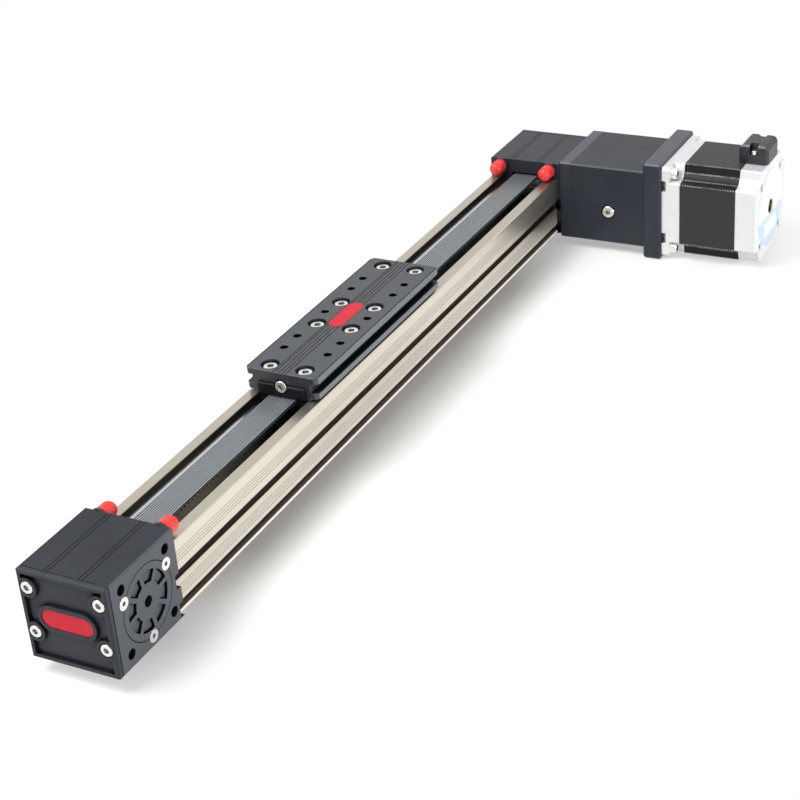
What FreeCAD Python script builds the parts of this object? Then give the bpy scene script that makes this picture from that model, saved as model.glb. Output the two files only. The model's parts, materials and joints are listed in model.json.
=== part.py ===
# Belt driven linear axis: rail, roller carriage, toothed belt, two pulley blocks and a motor.
# Millimetres. X runs along the rail towards the motor end, the motor points to -Y, Z is up.
# The origin is the middle of the rail's underside.
import FreeCAD, Part
import math
import os

# Rail
rail_length = 424.0
rail_half = 20.0
rail_height = 35.5
channel_half = 14.0
lower_channel_half = 13.2
lower_channel_top = 24.0
floor_top = 7.0
side_line_depth = 0.12
side_line_half = 0.2
slot_lip = 1.8
slot_upper_z = 18.95
slot_upper_open = 3.9
slot_lower_z = 4.1
slot_lower_open = 4.1
slot_cavity_height = 7.0
slot_cavity_depth = 2.5
side_line_heights = (8.7, 10.3, 11.9, 13.4, 25.0, 26.6, 28.1, 29.6)

# Round guide shafts held in the rail's walls
guide_radius = 3.0
guide_y = 14.2
guide_z = 28.0

# Pulley blocks
block_size = 45.0
block_half = block_size / 2
block_length = 46.0
cover_thickness = 3.0
axis_z = 22.75
idler_offset = 23.0
drive_offset = 27.0
pulley_bore = 15.0
front_hole_radius = 2.5
back_hole_radius = 2.1
side_hole_depth = 8.0
block_line_places = (7.8, 9.7)
block_line_depth = 0.12
block_line_half = 0.18
end_screw_heights = (36.25, 14.2)
end_screw_y = 18.0
cover_radius = 17.3
cover_recess_radius = 17.6
cover_screw_radius = 17.8
block_screw_places = ((9.0, 3.5), (16.6, 12.0))
block_screw_head_depth = 12.6
rail_end = rail_length / 2
idler_x = -rail_end - idler_offset
drive_x = rail_end + drive_offset

# Belt: 3 mm pitch, 15 mm wide
belt_pitch = 3.0
belt_teeth_on_pulley = 25
belt_half = 7.5
pitch_radius = belt_teeth_on_pulley * belt_pitch / (2 * math.pi)
belt_back = pitch_radius + 0.82
belt_land = pitch_radius - 0.09
belt_tooth = 1.25
pulley_tip = pitch_radius - 0.38
pulley_flange = 13.9

# Carriage, in its rest place
carriage_x = -16.0
carriage_half_length = 66.5
plate_half = 20.0
plate_web_half = 16.0
plate_bottom = 36.4
plate_lip_bottom = 37.3
plate_groove_low = 40.2
plate_groove_high = 45.15
plate_line_places = (-19.35, -3.0, -0.95, 1.0, 3.1, 4.4, 19.35)
plate_top = 48.4
screw_offsets = (-59.4, -12.7, 12.7, 59.4)
screw_y = 9.75
screw_sink = 1.1
screw_head = 4.0
small_hole_offsets = (-41.5, -28.5, 0.0, 28.5, 41.5)
small_hole_y = 12.25
small_hole_radius = 2.1
clamp_half = 13.0
clamp_top = 42.4
clamp_length = 16.5
clamp_screw_z = 41.3
roller_places = ((-48.0, 1), (-24.0, -1), (24.0, -1), (48.0, 1))
roller_y = 2.0
roller_radius = 10.8
roller_half_height = 3.0
axle_radius = 2.0

# Bumpers
bumper_y = 15.8
bumper_z = 40.8
bumper_radius = 4.0
bumper_reach = 11.0

# Coupling housing and motor, all about the drive axis
adapter_y = -block_half - 7.3
housing_y = -76.3
flange_y = -87.3
housing_half_x = 28.1
housing_half_z = 24.2
flange_half = 30.0
motor_half = 28.5
front_plate_y = -92.0
front_cap_y = -98.5
stack_y = -131.9
motor_end_y = -144.6
motor_screw_place = 23.57
shaft_radius = 4.0
connector_x = (drive_x - 8.7, drive_x + 11.3)
connector_y = (-145.0, -127.5)
connector_z = (axis_z + motor_half, axis_z + motor_half + 11.3)

# Bearings 8 x 16 x 5 for the pulleys and 8 x 22 x 7 for the motor
bearing_radius = 8.0
bearing_width = 5.0
bearing_inner = 15.8
motor_bearing_radius = 11.0
motor_bearing_width = 6.5

X = FreeCAD.Vector(1, 0, 0)
Y = FreeCAD.Vector(0, 1, 0)
Z = FreeCAD.Vector(0, 0, 1)


def vec(x, y, z):
    return FreeCAD.Vector(x, y, z)


def around(middle, half):
    return (middle - half, middle + half)


def box(x, y, z):
    """A box from three (low, high) pairs."""
    return Part.makeBox(x[1] - x[0], y[1] - y[0], z[1] - z[0], vec(x[0], y[0], z[0]))


def rod(radius, start, axis, length):
    """A round bar from a start point along an axis; a negative length goes backwards."""
    if length < 0:
        start = start + axis * length
        length = -length
    return Part.makeCylinder(radius, length, start, axis)


def ring(outer, inner, start, axis, length):
    return rod(outer, start, axis, length).cut(rod(inner, start - axis, axis, length + 2))


def prism(points, direction):
    """A straight prism on a closed outline of points."""
    wire = Part.makePolygon(points + [points[0]])
    return Part.Face(wire).extrude(direction)


def joined(shapes):
    """Shapes that touch or overlap, made into one solid."""
    return shapes[0].multiFuse(shapes[1:]).removeSplitter()


def group(shapes):
    """Separate solids kept in one node."""
    solids = []
    for shape in shapes:
        solids.extend(shape.Solids)
    return Part.makeCompound(solids)


def chamfered(shape, size, keep):
    """Chamfer the straight edges that the test accepts."""
    edges = [edge for edge in shape.Edges if keep(edge)]
    return shape.makeChamfer(size, edges)


def along(edge, axis):
    """True for a straight edge along an axis."""
    return isinstance(edge.Curve, Part.Line) and abs(abs(edge.Curve.Direction.dot(axis)) - 1) < 1e-6


def circles(shape):
    return [edge for edge in shape.Edges if edge.Curve.TypeId == "Part::GeomCircle"]


def socket_screw(head_radius, head_height, shank_radius, shank_length, tip, axis):
    """A socket head screw. The head's top is at tip and the shank runs against the axis."""
    hex_radius = head_radius * 0.52
    head = rod(head_radius, tip, axis, -head_height)
    rim = [e for e in circles(head) if (e.Curve.Center - tip).Length < 0.01]
    head = head.makeChamfer(head_radius * 0.09, rim)
    shank = rod(shank_radius, tip - axis * head_height, axis, -shank_length)
    side = X if abs(axis.dot(X)) < 0.5 else Y
    other = axis.cross(side)
    corners = []
    for k in range(6):
        a = math.radians(60 * k)
        corners.append(tip + side * (hex_radius * math.cos(a)) + other * (hex_radius * math.sin(a)))
    socket = prism(corners, axis * (-head_height * 0.55))
    return joined([head, shank]).cut(socket)


def racetrack(length, width, centre, long_axis, normal, depth):
    """A slot shaped plate: its face is at centre and it goes in against the normal."""
    cross = normal.cross(long_axis)
    r = width / 2
    s = length / 2 - r
    a = centre + long_axis * s + cross * r
    b = centre + long_axis * (s + r)
    c = centre + long_axis * s - cross * r
    d = centre - long_axis * s - cross * r
    e = centre - long_axis * (s + r)
    f = centre - long_axis * s + cross * r
    wire = Part.Wire([Part.Arc(a, b, c).toShape(), Part.LineSegment(c, d).toShape(),
                      Part.Arc(d, e, f).toShape(), Part.LineSegment(f, a).toShape()])
    return Part.Face(wire).extrude(normal * (-depth))


def rail_profile():
    span = (-rail_end, rail_end)
    body = box(span, (-rail_half, rail_half), (0, rail_height))
    cuts = [box(span, (-channel_half, channel_half), (lower_channel_top, rail_height)),
            box(span, (-lower_channel_half, lower_channel_half), (floor_top, lower_channel_top))]
    mouth_depth = rail_half - slot_lip
    for side in (-1, 1):
        cuts.append(rod(guide_radius, vec(-rail_end, side * guide_y, guide_z), X, rail_length))
        for middle, opening in ((slot_upper_z, slot_upper_open), (slot_lower_z, slot_lower_open)):
            mouth = sorted((rail_half * side, mouth_depth * side))
            cavity = sorted((mouth_depth * side, (mouth_depth - slot_cavity_depth) * side))
            cuts.append(box(span, mouth, around(middle, opening / 2)))
            cuts.append(box(span, cavity, around(middle, slot_cavity_height / 2)))
        for height in side_line_heights:
            outer = sorted((side * rail_half, side * (rail_half - side_line_depth)))
            cuts.append(box(span, outer, around(height, side_line_half)))
        for end in (-1, 1):
            for y, z in block_screw_places:
                cuts.append(rod(1.25, vec(end * rail_end, side * y, z), X, -end * 14))
    body = body.cut(cuts)
    return chamfered(body, 0.6, lambda e: along(e, X) and abs(abs(e.CenterOfMass.y) - rail_half) < 0.01
                     and (e.CenterOfMass.z < 0.01 or e.CenterOfMass.z > rail_height - 0.01))


def guide_shaft(side):
    return rod(guide_radius, vec(-rail_end, side * guide_y, guide_z), X, rail_length)


def at_end(end, u):
    """X of a place u outside the rail's end; end is -1 for the idler end and 1 for the drive end."""
    return end * (rail_end + u)


def end_span(end, u0, u1):
    return sorted((at_end(end, u0), at_end(end, u1)))


def side_holes(end, side):
    """Radius and places of the four tapped holes in a block's side."""
    step = 12.0 if end > 0 else 16.0
    radius = front_hole_radius if side < 0 else back_hole_radius
    return radius, [(dx * step, dz * 16.0) for dx in (-1, 1) for dz in (-1, 1)]


def pulley_block(end):
    """A block with a cross bore for the pulley and a window for the belt."""
    offset = idler_offset if end < 0 else drive_offset
    axis_x = at_end(end, offset)
    body = box(end_span(end, 0, block_length), (-block_half, block_half), (0, block_size))
    body = chamfered(body, 0.7, lambda e: along(e, X))
    cuts = [rod(pulley_bore, vec(axis_x, -block_half, axis_z), Y, block_size),
            box(end_span(end, 0, offset), (-9.3, 9.3), (axis_z - 14.2, axis_z + 14.2))]
    for side in (-1, 1):
        wall = vec(axis_x, side * block_half, axis_z)
        if not (end > 0 and side < 0):
            cuts.append(rod(cover_recess_radius, wall, Y, -side * 3.0))
            cuts.extend(countersinks(wall, side))
            radius, places = side_holes(end, side)
            for dx, dz in places:
                cuts.append(rod(radius, wall + vec(dx, 0, dz), Y, -side * side_hole_depth))
        for z0, z1 in ((15.2, 22.2), (0.5, 7.6)):
            notch = sorted((side * block_half, side * (rail_half - slot_lip)))
            cuts.append(box(end_span(end, 0, 3.0), notch, (z0, z1)))
        for place in block_line_places:
            cuts.append(box(end_span(end, 0, block_length), around(side * place, block_line_half),
                            (block_size - block_line_depth, block_size)))
        cuts.append(rod(2.0, vec(at_end(end, 0), side * bumper_y, bumper_z), X, end * 3.8))
        for z in end_screw_heights:
            cuts.append(rod(2.0, vec(at_end(end, block_length), side * end_screw_y, z), X, -end * 2.6))
        low, high = block_screw_places
        cuts.append(rod(1.6, vec(at_end(end, 0), side * low[0], low[1]), X, end * block_length))
        cuts.append(rod(2.9, vec(at_end(end, block_length), side * low[0], low[1]), X, -end * 4.0))
        cuts.append(rod(1.6, vec(at_end(end, 0), side * high[0], high[1]), X, end * offset))
        seat = offset - block_screw_head_depth - 3.0
        cuts.append(rod(2.9, vec(at_end(end, seat), side * high[0], high[1]), X, end * 6.0))
    if end > 0:
        for place in countersink_places(vec(axis_x, -block_half, axis_z)):
            cuts.append(rod(2.0, place, Y, 6.5))
    return body.cut(cuts)


def end_cover(end):
    """End plate with a raised rim, bosses round the screws and a racetrack island."""
    inner = at_end(end, block_length)
    outer = at_end(end, block_length + cover_thickness)
    normal = X * end
    body = box(sorted((inner, outer)), (-block_half, block_half), (0, block_size))
    body = chamfered(body, 0.7, lambda e: abs(e.CenterOfMass.x - outer) < 0.01 or along(e, X))
    recess = box(sorted((outer, outer - end * 1.6)), (-20.2, 20.2), (2.3, 43.0))
    seam = box(sorted((inner, inner + end * 0.5)), (-block_half, block_half), (0, block_size))
    seam = seam.cut(box(sorted((inner, inner + end * 0.5)), (-21.9, 21.9), (0.6, 44.4)))
    kept = [racetrack(29.5, 13.0, vec(outer, 0, 23.0), Y, normal, 1.6)]
    cuts = [racetrack(26.0, 9.2, vec(outer, 0, 23.0), Y, normal, 0.9), seam]
    for side in (-1, 1):
        for z in end_screw_heights:
            place = vec(outer, side * end_screw_y, z)
            kept.append(rod(4.8, place, X, -end * 1.6))
            cuts.append(rod(3.4, place, X, -end * 1.9))
            cuts.append(rod(2.1, place, X, -end * cover_thickness))
    recess = recess.cut(kept)
    return body.cut([recess] + cuts)


def end_cover_screws():
    screws = []
    for end in (-1, 1):
        for side in (-1, 1):
            for z in end_screw_heights:
                tip = vec(at_end(end, block_length + cover_thickness + 0.2), side * end_screw_y, z)
                screws.append(socket_screw(2.95, 2.1, 1.95, 3.5, tip, X * end))
    return group(screws)


def end_badges():
    plates = []
    for end in (-1, 1):
        centre = vec(at_end(end, block_length + cover_thickness - 0.3), 0, 23.0)
        plates.append(racetrack(25.8, 9.0, centre, Y, X * end, 0.55))
    return group(plates)


def block_screws():
    """Screws that hold the blocks on the rail's ends: long ones below, short ones from the bore."""
    screws = []
    for end in (-1, 1):
        offset = idler_offset if end < 0 else drive_offset
        for side in (-1, 1):
            (low_y, low_z), (high_y, high_z) = block_screw_places
            low = vec(at_end(end, block_length - 1.0), side * low_y, low_z)
            screws.append(socket_screw(2.75, 3.0, 1.2, block_length - 4.0 + 10.0, low, X * end))
            depth = offset - block_screw_head_depth
            high = vec(at_end(end, depth), side * high_y, high_z)
            screws.append(socket_screw(2.75, 3.0, 1.2, depth - 3.0 + 10.0, high, X * end))
    return group(screws)


def countersink_places(wall):
    places = []
    for angle in (30, 150, 270):
        a = math.radians(angle)
        places.append(wall + vec(cover_screw_radius * math.cos(a), 0, cover_screw_radius * math.sin(a)))
    return places


def countersinks(wall, side):
    cones = []
    for place in countersink_places(wall):
        cones.append(Part.makeCone(3.1, 1.5, 1.7, place, Y * -side))
        cones.append(rod(1.25, place, Y, -side * 8.0))
    return cones


def spokes(wall, half_width):
    """Eight bars out from a centre, for the ribs of a bearing cover."""
    bars = []
    for k in range(8):
        bar = box((-half_width, half_width), (-2.0, 2.0), (0, 15.0))
        bar.rotate(vec(0, 0, 0), Y, 34 + 45 * k)
        bar.translate(wall)
        bars.append(bar)
    return bars


def bearing_cover(axis_x, side):
    """Round cover with a bearing seat inside and eight pockets between ribs outside."""
    wall = vec(axis_x, side * block_half, axis_z)
    body = joined([rod(cover_radius, wall, Y, -side * 3.0), rod(pulley_bore - 0.1, wall, Y, -side * 11.7)])
    face = side * bearing_inner
    cuts = [rod(bearing_radius, vec(axis_x, side * 10.8, axis_z), Y, side * (bearing_inner - 10.8)),
            rod(5.2, vec(axis_x, face, axis_z), Y, side * 1.4),
            rod(2.6, wall, Y, -side * 6.0)]
    pockets = rod(14.0, wall, Y, -side * 1.6)
    pockets = pockets.cut([rod(8.5, wall + Y * side, Y, -side * 3.6)] + spokes(wall, 1.1))
    floors = rod(13.6, wall - Y * (side * 1.1), Y, -side * 0.5)
    floors = floors.cut([rod(8.9, wall, Y, -side * 2.0)] + spokes(wall, 1.45))
    cuts.append(pockets.cut(floors))
    return body.cut(cuts + countersinks(wall, side))


def bearing_cover_screws():
    screws = []
    for axis_x, side in ((idler_x, -1), (idler_x, 1), (drive_x, 1)):
        wall = vec(axis_x, side * block_half, axis_z)
        for place in countersink_places(wall):
            cone = Part.makeCone(3.0, 1.4, 1.6, place, Y * -side)
            shank = rod(1.2, place, Y, -side * 7.5)
            socket = rod(1.0, place, Y, -side * 0.9)
            screws.append(joined([cone, shank]).cut(socket))
    return group(screws)


def bearing_seats():
    """Start point and direction of each pulley bearing, outwards from the pulley."""
    seats = []
    for axis_x in (idler_x, drive_x):
        for side in (-1, 1):
            seats.append((vec(axis_x, side * (bearing_inner - bearing_width), axis_z), side))
    return seats


def bearing_outer_rings():
    rings = []
    for start, side in bearing_seats():
        low = start if side > 0 else start - Y * bearing_width
        blank = ring(bearing_radius - 0.02, 6.9, low, Y, bearing_width)
        groove = Part.makeTorus(6.0, 1.05, low + Y * (bearing_width / 2), Y)
        rings.append(blank.cut(groove))
    return group(rings)


def bearing_inner_rings(axis_x):
    rings = []
    for start, side in bearing_seats():
        if abs(start.x - axis_x) < 1:
            low = start if side > 0 else start - Y * bearing_width
            blank = ring(5.1, shaft_radius + 0.01, low, Y, bearing_width)
            groove = Part.makeTorus(6.0, 1.2, low + Y * (bearing_width / 2), Y)
            rings.append(blank.cut(groove))
    return group(rings)


def bearing_balls():
    balls = []
    for start, side in bearing_seats():
        middle = start + Y * (side * bearing_width / 2)
        for k in range(9):
            a = 2 * math.pi * k / 9
            balls.append(Part.makeSphere(0.85, middle + vec(6.0 * math.cos(a), 0, 6.0 * math.sin(a))))
    return group(balls)


def pulley(axis_x):
    """Toothed pulley with a flange on each side of the belt."""
    start = vec(axis_x, -8.0, axis_z)
    body = joined([rod(pulley_tip, start, Y, 16.0), rod(pulley_flange, start, Y, -1.1),
                   rod(pulley_flange, vec(axis_x, 8.0, axis_z), Y, 1.1)])
    cuts = [rod(shaft_radius + 0.01, vec(axis_x, -10, axis_z), Y, 20)]
    for k in range(belt_teeth_on_pulley):
        a = 2 * math.pi * k / belt_teeth_on_pulley
        place = vec(axis_x + pulley_tip * math.cos(a), -8.0, axis_z + pulley_tip * math.sin(a))
        cuts.append(rod(0.9, place, Y, 16.0))
    return body.cut(cuts)


def idler_shaft():
    reach = bearing_inner + 0.6
    body = rod(shaft_radius, vec(idler_x, -reach, axis_z), Y, 2 * reach)
    return body.makeChamfer(0.4, circles(body))


def drive_shaft():
    reach = bearing_inner + 0.6
    body = rod(shaft_radius, vec(drive_x, -49.0, axis_z), Y, 49.0 + reach)
    return body.makeChamfer(0.4, circles(body))


def belt_loop(radius, teeth):
    """The belt's side outline at a radius from the pulley axes, with teeth on the straight runs."""
    top = axis_z + radius
    low = axis_z - radius
    left = vec(idler_x, -belt_half, 0)
    right = vec(drive_x, -belt_half, 0)
    edges = [Part.Arc(vec(right.x, right.y, top), vec(right.x + radius, right.y, axis_z),
                      vec(right.x, right.y, low)).toShape(),
             Part.Arc(vec(left.x, left.y, low), vec(left.x - radius, left.y, axis_z),
                      vec(left.x, left.y, top)).toShape()]
    first = idler_x + pulley_flange + 2.0
    count = int((drive_x - idler_x - 2 * pulley_flange - 4.0) / belt_pitch)
    runs = [[vec(idler_x, -belt_half, top)], [vec(idler_x, -belt_half, low)]]
    if teeth:
        for k in range(count):
            x = first + belt_pitch * k
            for run, level, step in ((runs[0], top, -belt_tooth), (runs[1], low, belt_tooth)):
                run.append(vec(x, -belt_half, level))
                run.append(vec(x + 0.35, -belt_half, level + step))
                run.append(vec(x + 1.35, -belt_half, level + step))
                run.append(vec(x + 1.7, -belt_half, level))
    runs[0].append(vec(drive_x, -belt_half, top))
    runs[1].append(vec(drive_x, -belt_half, low))
    for run in runs:
        for a, b in zip(run[:-1], run[1:]):
            edges.append(Part.LineSegment(a, b).toShape())
    return Part.Wire(Part.__sortEdges__(edges))


def timing_belt():
    outer = Part.Face(belt_loop(belt_back, False)).extrude(Y * (2 * belt_half))
    inner = Part.Face(belt_loop(belt_land, True)).extrude(Y * (2 * belt_half))
    return outer.cut(inner)


def bumpers(end):
    """Two rubber domes on stems in the block's rail side."""
    parts = []
    for side in (-1, 1):
        root = vec(at_end(end, 0), side * bumper_y, bumper_z)
        barrel = rod(bumper_radius, root, X, -end * (bumper_reach - 4.0))
        nose = rod(bumper_radius, root - X * (end * (bumper_reach - 4.0)), X, -end * 4.0)
        tip = [e for e in circles(nose) if abs(abs(e.CenterOfMass.x) - (rail_end - bumper_reach)) < 0.1]
        nose = nose.makeFillet(bumper_radius - 0.4, tip)
        stem = rod(1.9, root, X, end * 3.6)
        parts.append(joined([barrel, nose, stem]))
    return group(parts)


def bumper_seats():
    seats = []
    for end in (-1, 1):
        for side in (-1, 1):
            root = vec(at_end(end, 0), side * bumper_y, bumper_z)
            low = root if end < 0 else root - X * 1.6
            seats.append(ring(bumper_radius + 0.6, bumper_radius + 0.02, low, X, 1.6).common(
                box((-rail_length, rail_length), (-block_half, block_half), (rail_height + 0.1, 50))))
    return group(seats)


def carriage_plate():
    """Plate with a side groove each side, counterbored screw holes, tapped holes and clamp pockets."""
    x0 = carriage_x - carriage_half_length
    x1 = carriage_x + carriage_half_length
    span = (x0, x1)
    body = box(span, (-plate_half, plate_half), (plate_bottom, plate_top))
    body = chamfered(body, 1.8, lambda e: along(e, Z))
    body = chamfered(body, 0.2, lambda e: abs(e.CenterOfMass.z - plate_top) < 0.01)
    cuts = []
    for place in plate_line_places:
        cuts.append(box(span, around(place, 0.2), (plate_top - 0.3, plate_top)))
    for side in (-1, 1):
        groove = sorted((side * plate_half, side * plate_web_half))
        cuts.append(box(span, groove, (plate_groove_low, plate_groove_high)))
        cuts.append(box(span, groove, (plate_bottom, plate_lip_bottom)))
        for dx in screw_offsets:
            centre = vec(carriage_x + dx, side * screw_y, plate_top)
            cuts.append(rod(4.9, centre, Z, -(screw_sink + screw_head)))
            cuts.append(rod(2.1, centre, Z, -14.0))
        for dx in small_hole_offsets:
            centre = vec(carriage_x + dx, side * small_hole_y, plate_top)
            cuts.append(rod(small_hole_radius, centre, Z, -9.0))
            cuts.append(Part.makeCone(small_hole_radius + 0.3, small_hole_radius, 0.3, centre, -Z))
    for end in (-1, 1):
        edge = carriage_x + end * carriage_half_length
        inside = edge - end * (clamp_length - 1.5)
        cuts.append(box(sorted((edge, inside)), (-clamp_half - 0.1, clamp_half + 0.1),
                        (plate_bottom, clamp_top + 0.1)))
        cuts.append(rod(3.9, vec(edge, 0, clamp_screw_z), X, -end * 2.4))
        cuts.append(rod(2.1, vec(edge, 0, clamp_screw_z), X, -end * (clamp_length + 6.0)))
    cuts.append(racetrack(28.0, 8.6, vec(carriage_x, 0, plate_top), X, Z, 0.6))
    return body.cut(cuts)


def carriage_badge():
    return racetrack(27.8, 8.4, vec(carriage_x, 0, plate_top + 0.15), X, Z, 0.7)


def belt_clamps():
    parts = []
    for end in (-1, 1):
        outer = carriage_x + end * (carriage_half_length + 1.5)
        inner = outer - end * clamp_length
        block = box(sorted((outer, inner)), (-clamp_half, clamp_half), (plate_bottom, clamp_top))
        block = chamfered(block, 0.5, lambda e: abs(e.CenterOfMass.x - outer) < 0.01)
        cuts = [rod(3.9, vec(outer, 0, clamp_screw_z), X, -end * 3.9),
                rod(2.1, vec(outer, 0, clamp_screw_z), X, -end * (clamp_length + 1.0))]
        for side in (-1, 1):
            cuts.append(rod(2.1, vec(carriage_x + end * screw_offsets[3], side * screw_y, 30), Z, 20))
        parts.append(block.cut(cuts))
    return group(parts)


def belt_clamp_screws():
    screws = []
    for end in (-1, 1):
        tip = vec(carriage_x + end * (carriage_half_length + 1.2), 0, clamp_screw_z)
        screws.append(socket_screw(3.15, 3.0, 1.95, 16.0, tip, X * end))
    return group(screws)


def carriage_plate_screws():
    screws = []
    for dx in screw_offsets:
        for side in (-1, 1):
            tip = vec(carriage_x + dx, side * screw_y, plate_top - screw_sink)
            screws.append(socket_screw(3.65, screw_head, 1.85, tip.z - screw_head - 32.2, tip, Z))
    return group(screws)


def carriage_body():
    """Body in the rail's channel: the belt runs between its two upper walls, the rollers in pockets."""
    span = (carriage_x - carriage_half_length, carriage_x + carriage_half_length)
    body = joined([box(span, (-10.6, 10.6), (18.0, 32.7)),
                   box(span, (-13.4, 13.4), (31.7, plate_bottom))])
    cuts = [box(span, (-7.8, 7.8), (32.8, plate_bottom))]
    for dx, side in roller_places:
        centre = vec(carriage_x + dx, side * roller_y, guide_z - roller_half_height - 0.3)
        cuts.append(rod(roller_radius + 0.4, centre, Z, 2 * roller_half_height + 0.6))
        cuts.append(rod(axle_radius + 0.02, vec(carriage_x + dx, side * roller_y, 17), Z, 15.4))
    for dx in screw_offsets:
        for side in (-1, 1):
            cuts.append(rod(1.88, vec(carriage_x + dx, side * screw_y, 32.0), Z, 6))
    return body.cut(cuts)


def guide_roller(dx, side):
    """Grooved roller that runs on the guide shaft at its side."""
    centre = vec(carriage_x + dx, side * roller_y, guide_z)
    reach = guide_y - roller_y
    blank = rod(roller_radius, centre - Z * roller_half_height, Z, 2 * roller_half_height)
    groove = Part.makeTorus(reach, guide_radius + 0.3, centre, Z)
    bore = rod(axle_radius + 0.05, centre - Z * 5, Z, 10)
    rims = []
    for top in (-1, 1):
        start = centre + Z * (top * roller_half_height)
        rims.append(rod(6.4, start, Z, -top * 0.5).cut(rod(3.4, start + Z * top, Z, -top * 3.0)))
    return blank.cut([groove, bore] + rims)


def roller_axles():
    pins = []
    for dx, side in roller_places:
        place = vec(carriage_x + dx, side * roller_y, 18.0)
        pins.append(joined([rod(axle_radius, place, Z, 14.0), rod(3.8, place, Z, -2.2)]))
    return group(pins)


def square_on_axis(half_x, half_z, y_span):
    return box((drive_x - half_x, drive_x + half_x), y_span, (axis_z - half_z, axis_z + half_z))


def adapter_plate():
    """Plate between the drive block and the coupling housing; its spigot carries a bearing."""
    plate = square_on_axis(housing_half_x, housing_half_z, (adapter_y, -block_half))
    plate = chamfered(plate, 0.8, lambda e: along(e, Y) or abs(e.CenterOfMass.y + block_half) < 0.01)
    spigot = rod(pulley_bore - 0.1, vec(drive_x, -block_half, axis_z), Y, 10.8)
    body = joined([plate, spigot])
    cuts = [rod(bearing_radius, vec(drive_x, -bearing_inner, axis_z), Y, 6.0),
            rod(5.4, vec(drive_x, adapter_y, axis_z), Y, 20.0)]
    for place in countersink_places(vec(drive_x, adapter_y, axis_z)):
        cuts.append(rod(2.1, place, Y, 8.0))
        cuts.append(rod(3.7, place, Y, 4.1))
    for dx, dz in housing_screw_places():
        cuts.append(rod(1.7, vec(drive_x + dx, adapter_y, axis_z + dz), Y, 6.0))
    return body.cut(cuts)


def housing_screw_places():
    return [(dx * 23.5, dz * 19.5) for dx in (-1, 1) for dz in (-1, 1)]


def coupling_housing():
    body = square_on_axis(housing_half_x, housing_half_z, (housing_y, adapter_y))
    body = chamfered(body, 1.0, lambda e: along(e, Y))
    near = drive_x - housing_half_x
    cuts = [rod(16.5, vec(drive_x, housing_y, axis_z), Y, adapter_y - housing_y),
            rod(4.35, vec(near, -53.5, 18.3), X, 2.2), rod(3.0, vec(near, -53.5, 18.3), X, 16.0)]
    for dx, dz in housing_screw_places():
        cuts.append(rod(2.1, vec(drive_x + dx, housing_y, axis_z + dz), Y, adapter_y - housing_y))
        cuts.append(rod(3.8, vec(drive_x + dx, housing_y, axis_z + dz), Y, 4.5))
    return body.cut(cuts)


def access_plug():
    near = drive_x - housing_half_x
    centre = vec(near - 0.1, -53.5, 18.3)
    head = rod(3.7, centre, X, 2.3)
    head = head.makeChamfer(0.5, [e for e in circles(head) if abs(e.CenterOfMass.x - centre.x) < 0.01])
    return joined([head, rod(2.95, centre + X * 2.3, X, 5.0)]).cut(rod(1.5, centre, X, 1.8))


def housing_screws():
    """Screws of the adapter plate and, longer, of the coupling housing."""
    screws = []
    for tip in countersink_places(vec(drive_x, adapter_y + 0.1, axis_z)):
        screws.append(socket_screw(3.5, 4.0, 1.95, 8.5, tip, -Y))
    for dx, dz in housing_screw_places():
        tip = vec(drive_x + dx, housing_y + 0.4, axis_z + dz)
        screws.append(socket_screw(3.6, 4.1, 1.65, 47.0, tip, -Y))
    return group(screws)


def motor_flange():
    body = square_on_axis(flange_half, flange_half, (flange_y, housing_y))
    body = chamfered(body, 1.0, lambda e: True)
    cuts = [rod(19.15, vec(drive_x, flange_y, axis_z), Y, 2.2),
            rod(13.5, vec(drive_x, flange_y, axis_z), Y, 12.0)]
    for dx in (-1, 1):
        for dz in (-1, 1):
            place = vec(drive_x + dx * motor_screw_place, flange_y, axis_z + dz * motor_screw_place)
            cuts.append(rod(2.1, place, Y, 9.0))
    return body.cut(cuts)


def motor_outline(y, shrink=0.0):
    """The motor's square outline with a hollow cut at each corner."""
    half = motor_half - shrink
    corner = [(half, 18.8), (23.2, 19.8), (21.2, 21.2), (19.8, 23.2), (18.8, half)]
    points = []
    for quarter in range(4):
        a = math.radians(90 * quarter)
        for u, w in corner:
            points.append(vec(drive_x + u * math.cos(a) - w * math.sin(a), y,
                              axis_z + u * math.sin(a) + w * math.cos(a)))
    return points


def rounded_cap(low, high):
    """A slice of the motor's outline with soft edges at the corner cuts."""
    cap = prism(motor_outline(low, 0.3), Y * (high - low))
    ridges = []
    for edge in cap.Edges:
        middle = edge.CenterOfMass
        if along(edge, Y) and math.hypot(middle.x - drive_x, middle.z - axis_z) > 33.0:
            ridges.append(edge)
    return cap.makeFillet(1.2, ridges)


def motor_front_cap():
    flange = square_on_axis(28.2, 28.2, (front_plate_y, flange_y))
    flange = chamfered(flange, 1.6, lambda e: along(e, Y))
    cap = rounded_cap(front_cap_y, front_plate_y)
    pilot = rod(19.05, vec(drive_x, flange_y, axis_z), Y, 1.6)
    body = joined([flange, cap, pilot])
    seat = vec(drive_x, -88.3 - motor_bearing_width, axis_z)
    cuts = [rod(6.0, vec(drive_x, -100, axis_z), Y, 20),
            rod(motor_bearing_radius, seat, Y, motor_bearing_width),
            rod(23.6, vec(drive_x, front_cap_y, axis_z), Y, 3.7)]
    for dx in (-1, 1):
        for dz in (-1, 1):
            place = vec(drive_x + dx * motor_screw_place, -93, axis_z + dz * motor_screw_place)
            cuts.append(rod(2.3, place, Y, 10))
            cuts.append(rod(4.0, vec(place.x, front_cap_y, place.z), Y, front_plate_y - front_cap_y))
            near = sorted((drive_x + dx * 28.3, drive_x + dx * 24.2))
            cuts.append(box(near, (-89.9, flange_y), (axis_z + dz * 16.5 - 3.3, axis_z + dz * 16.5 + 3.3)))
    for dx, dz in case_screw_places():
        cuts.append(rod(1.3, vec(drive_x + dx, front_cap_y, axis_z + dz), Y, 5.0))
    return body.cut(cuts)


def slot_places():
    return [math.radians(22.5 + 45 * k) for k in range(8)]


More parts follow.
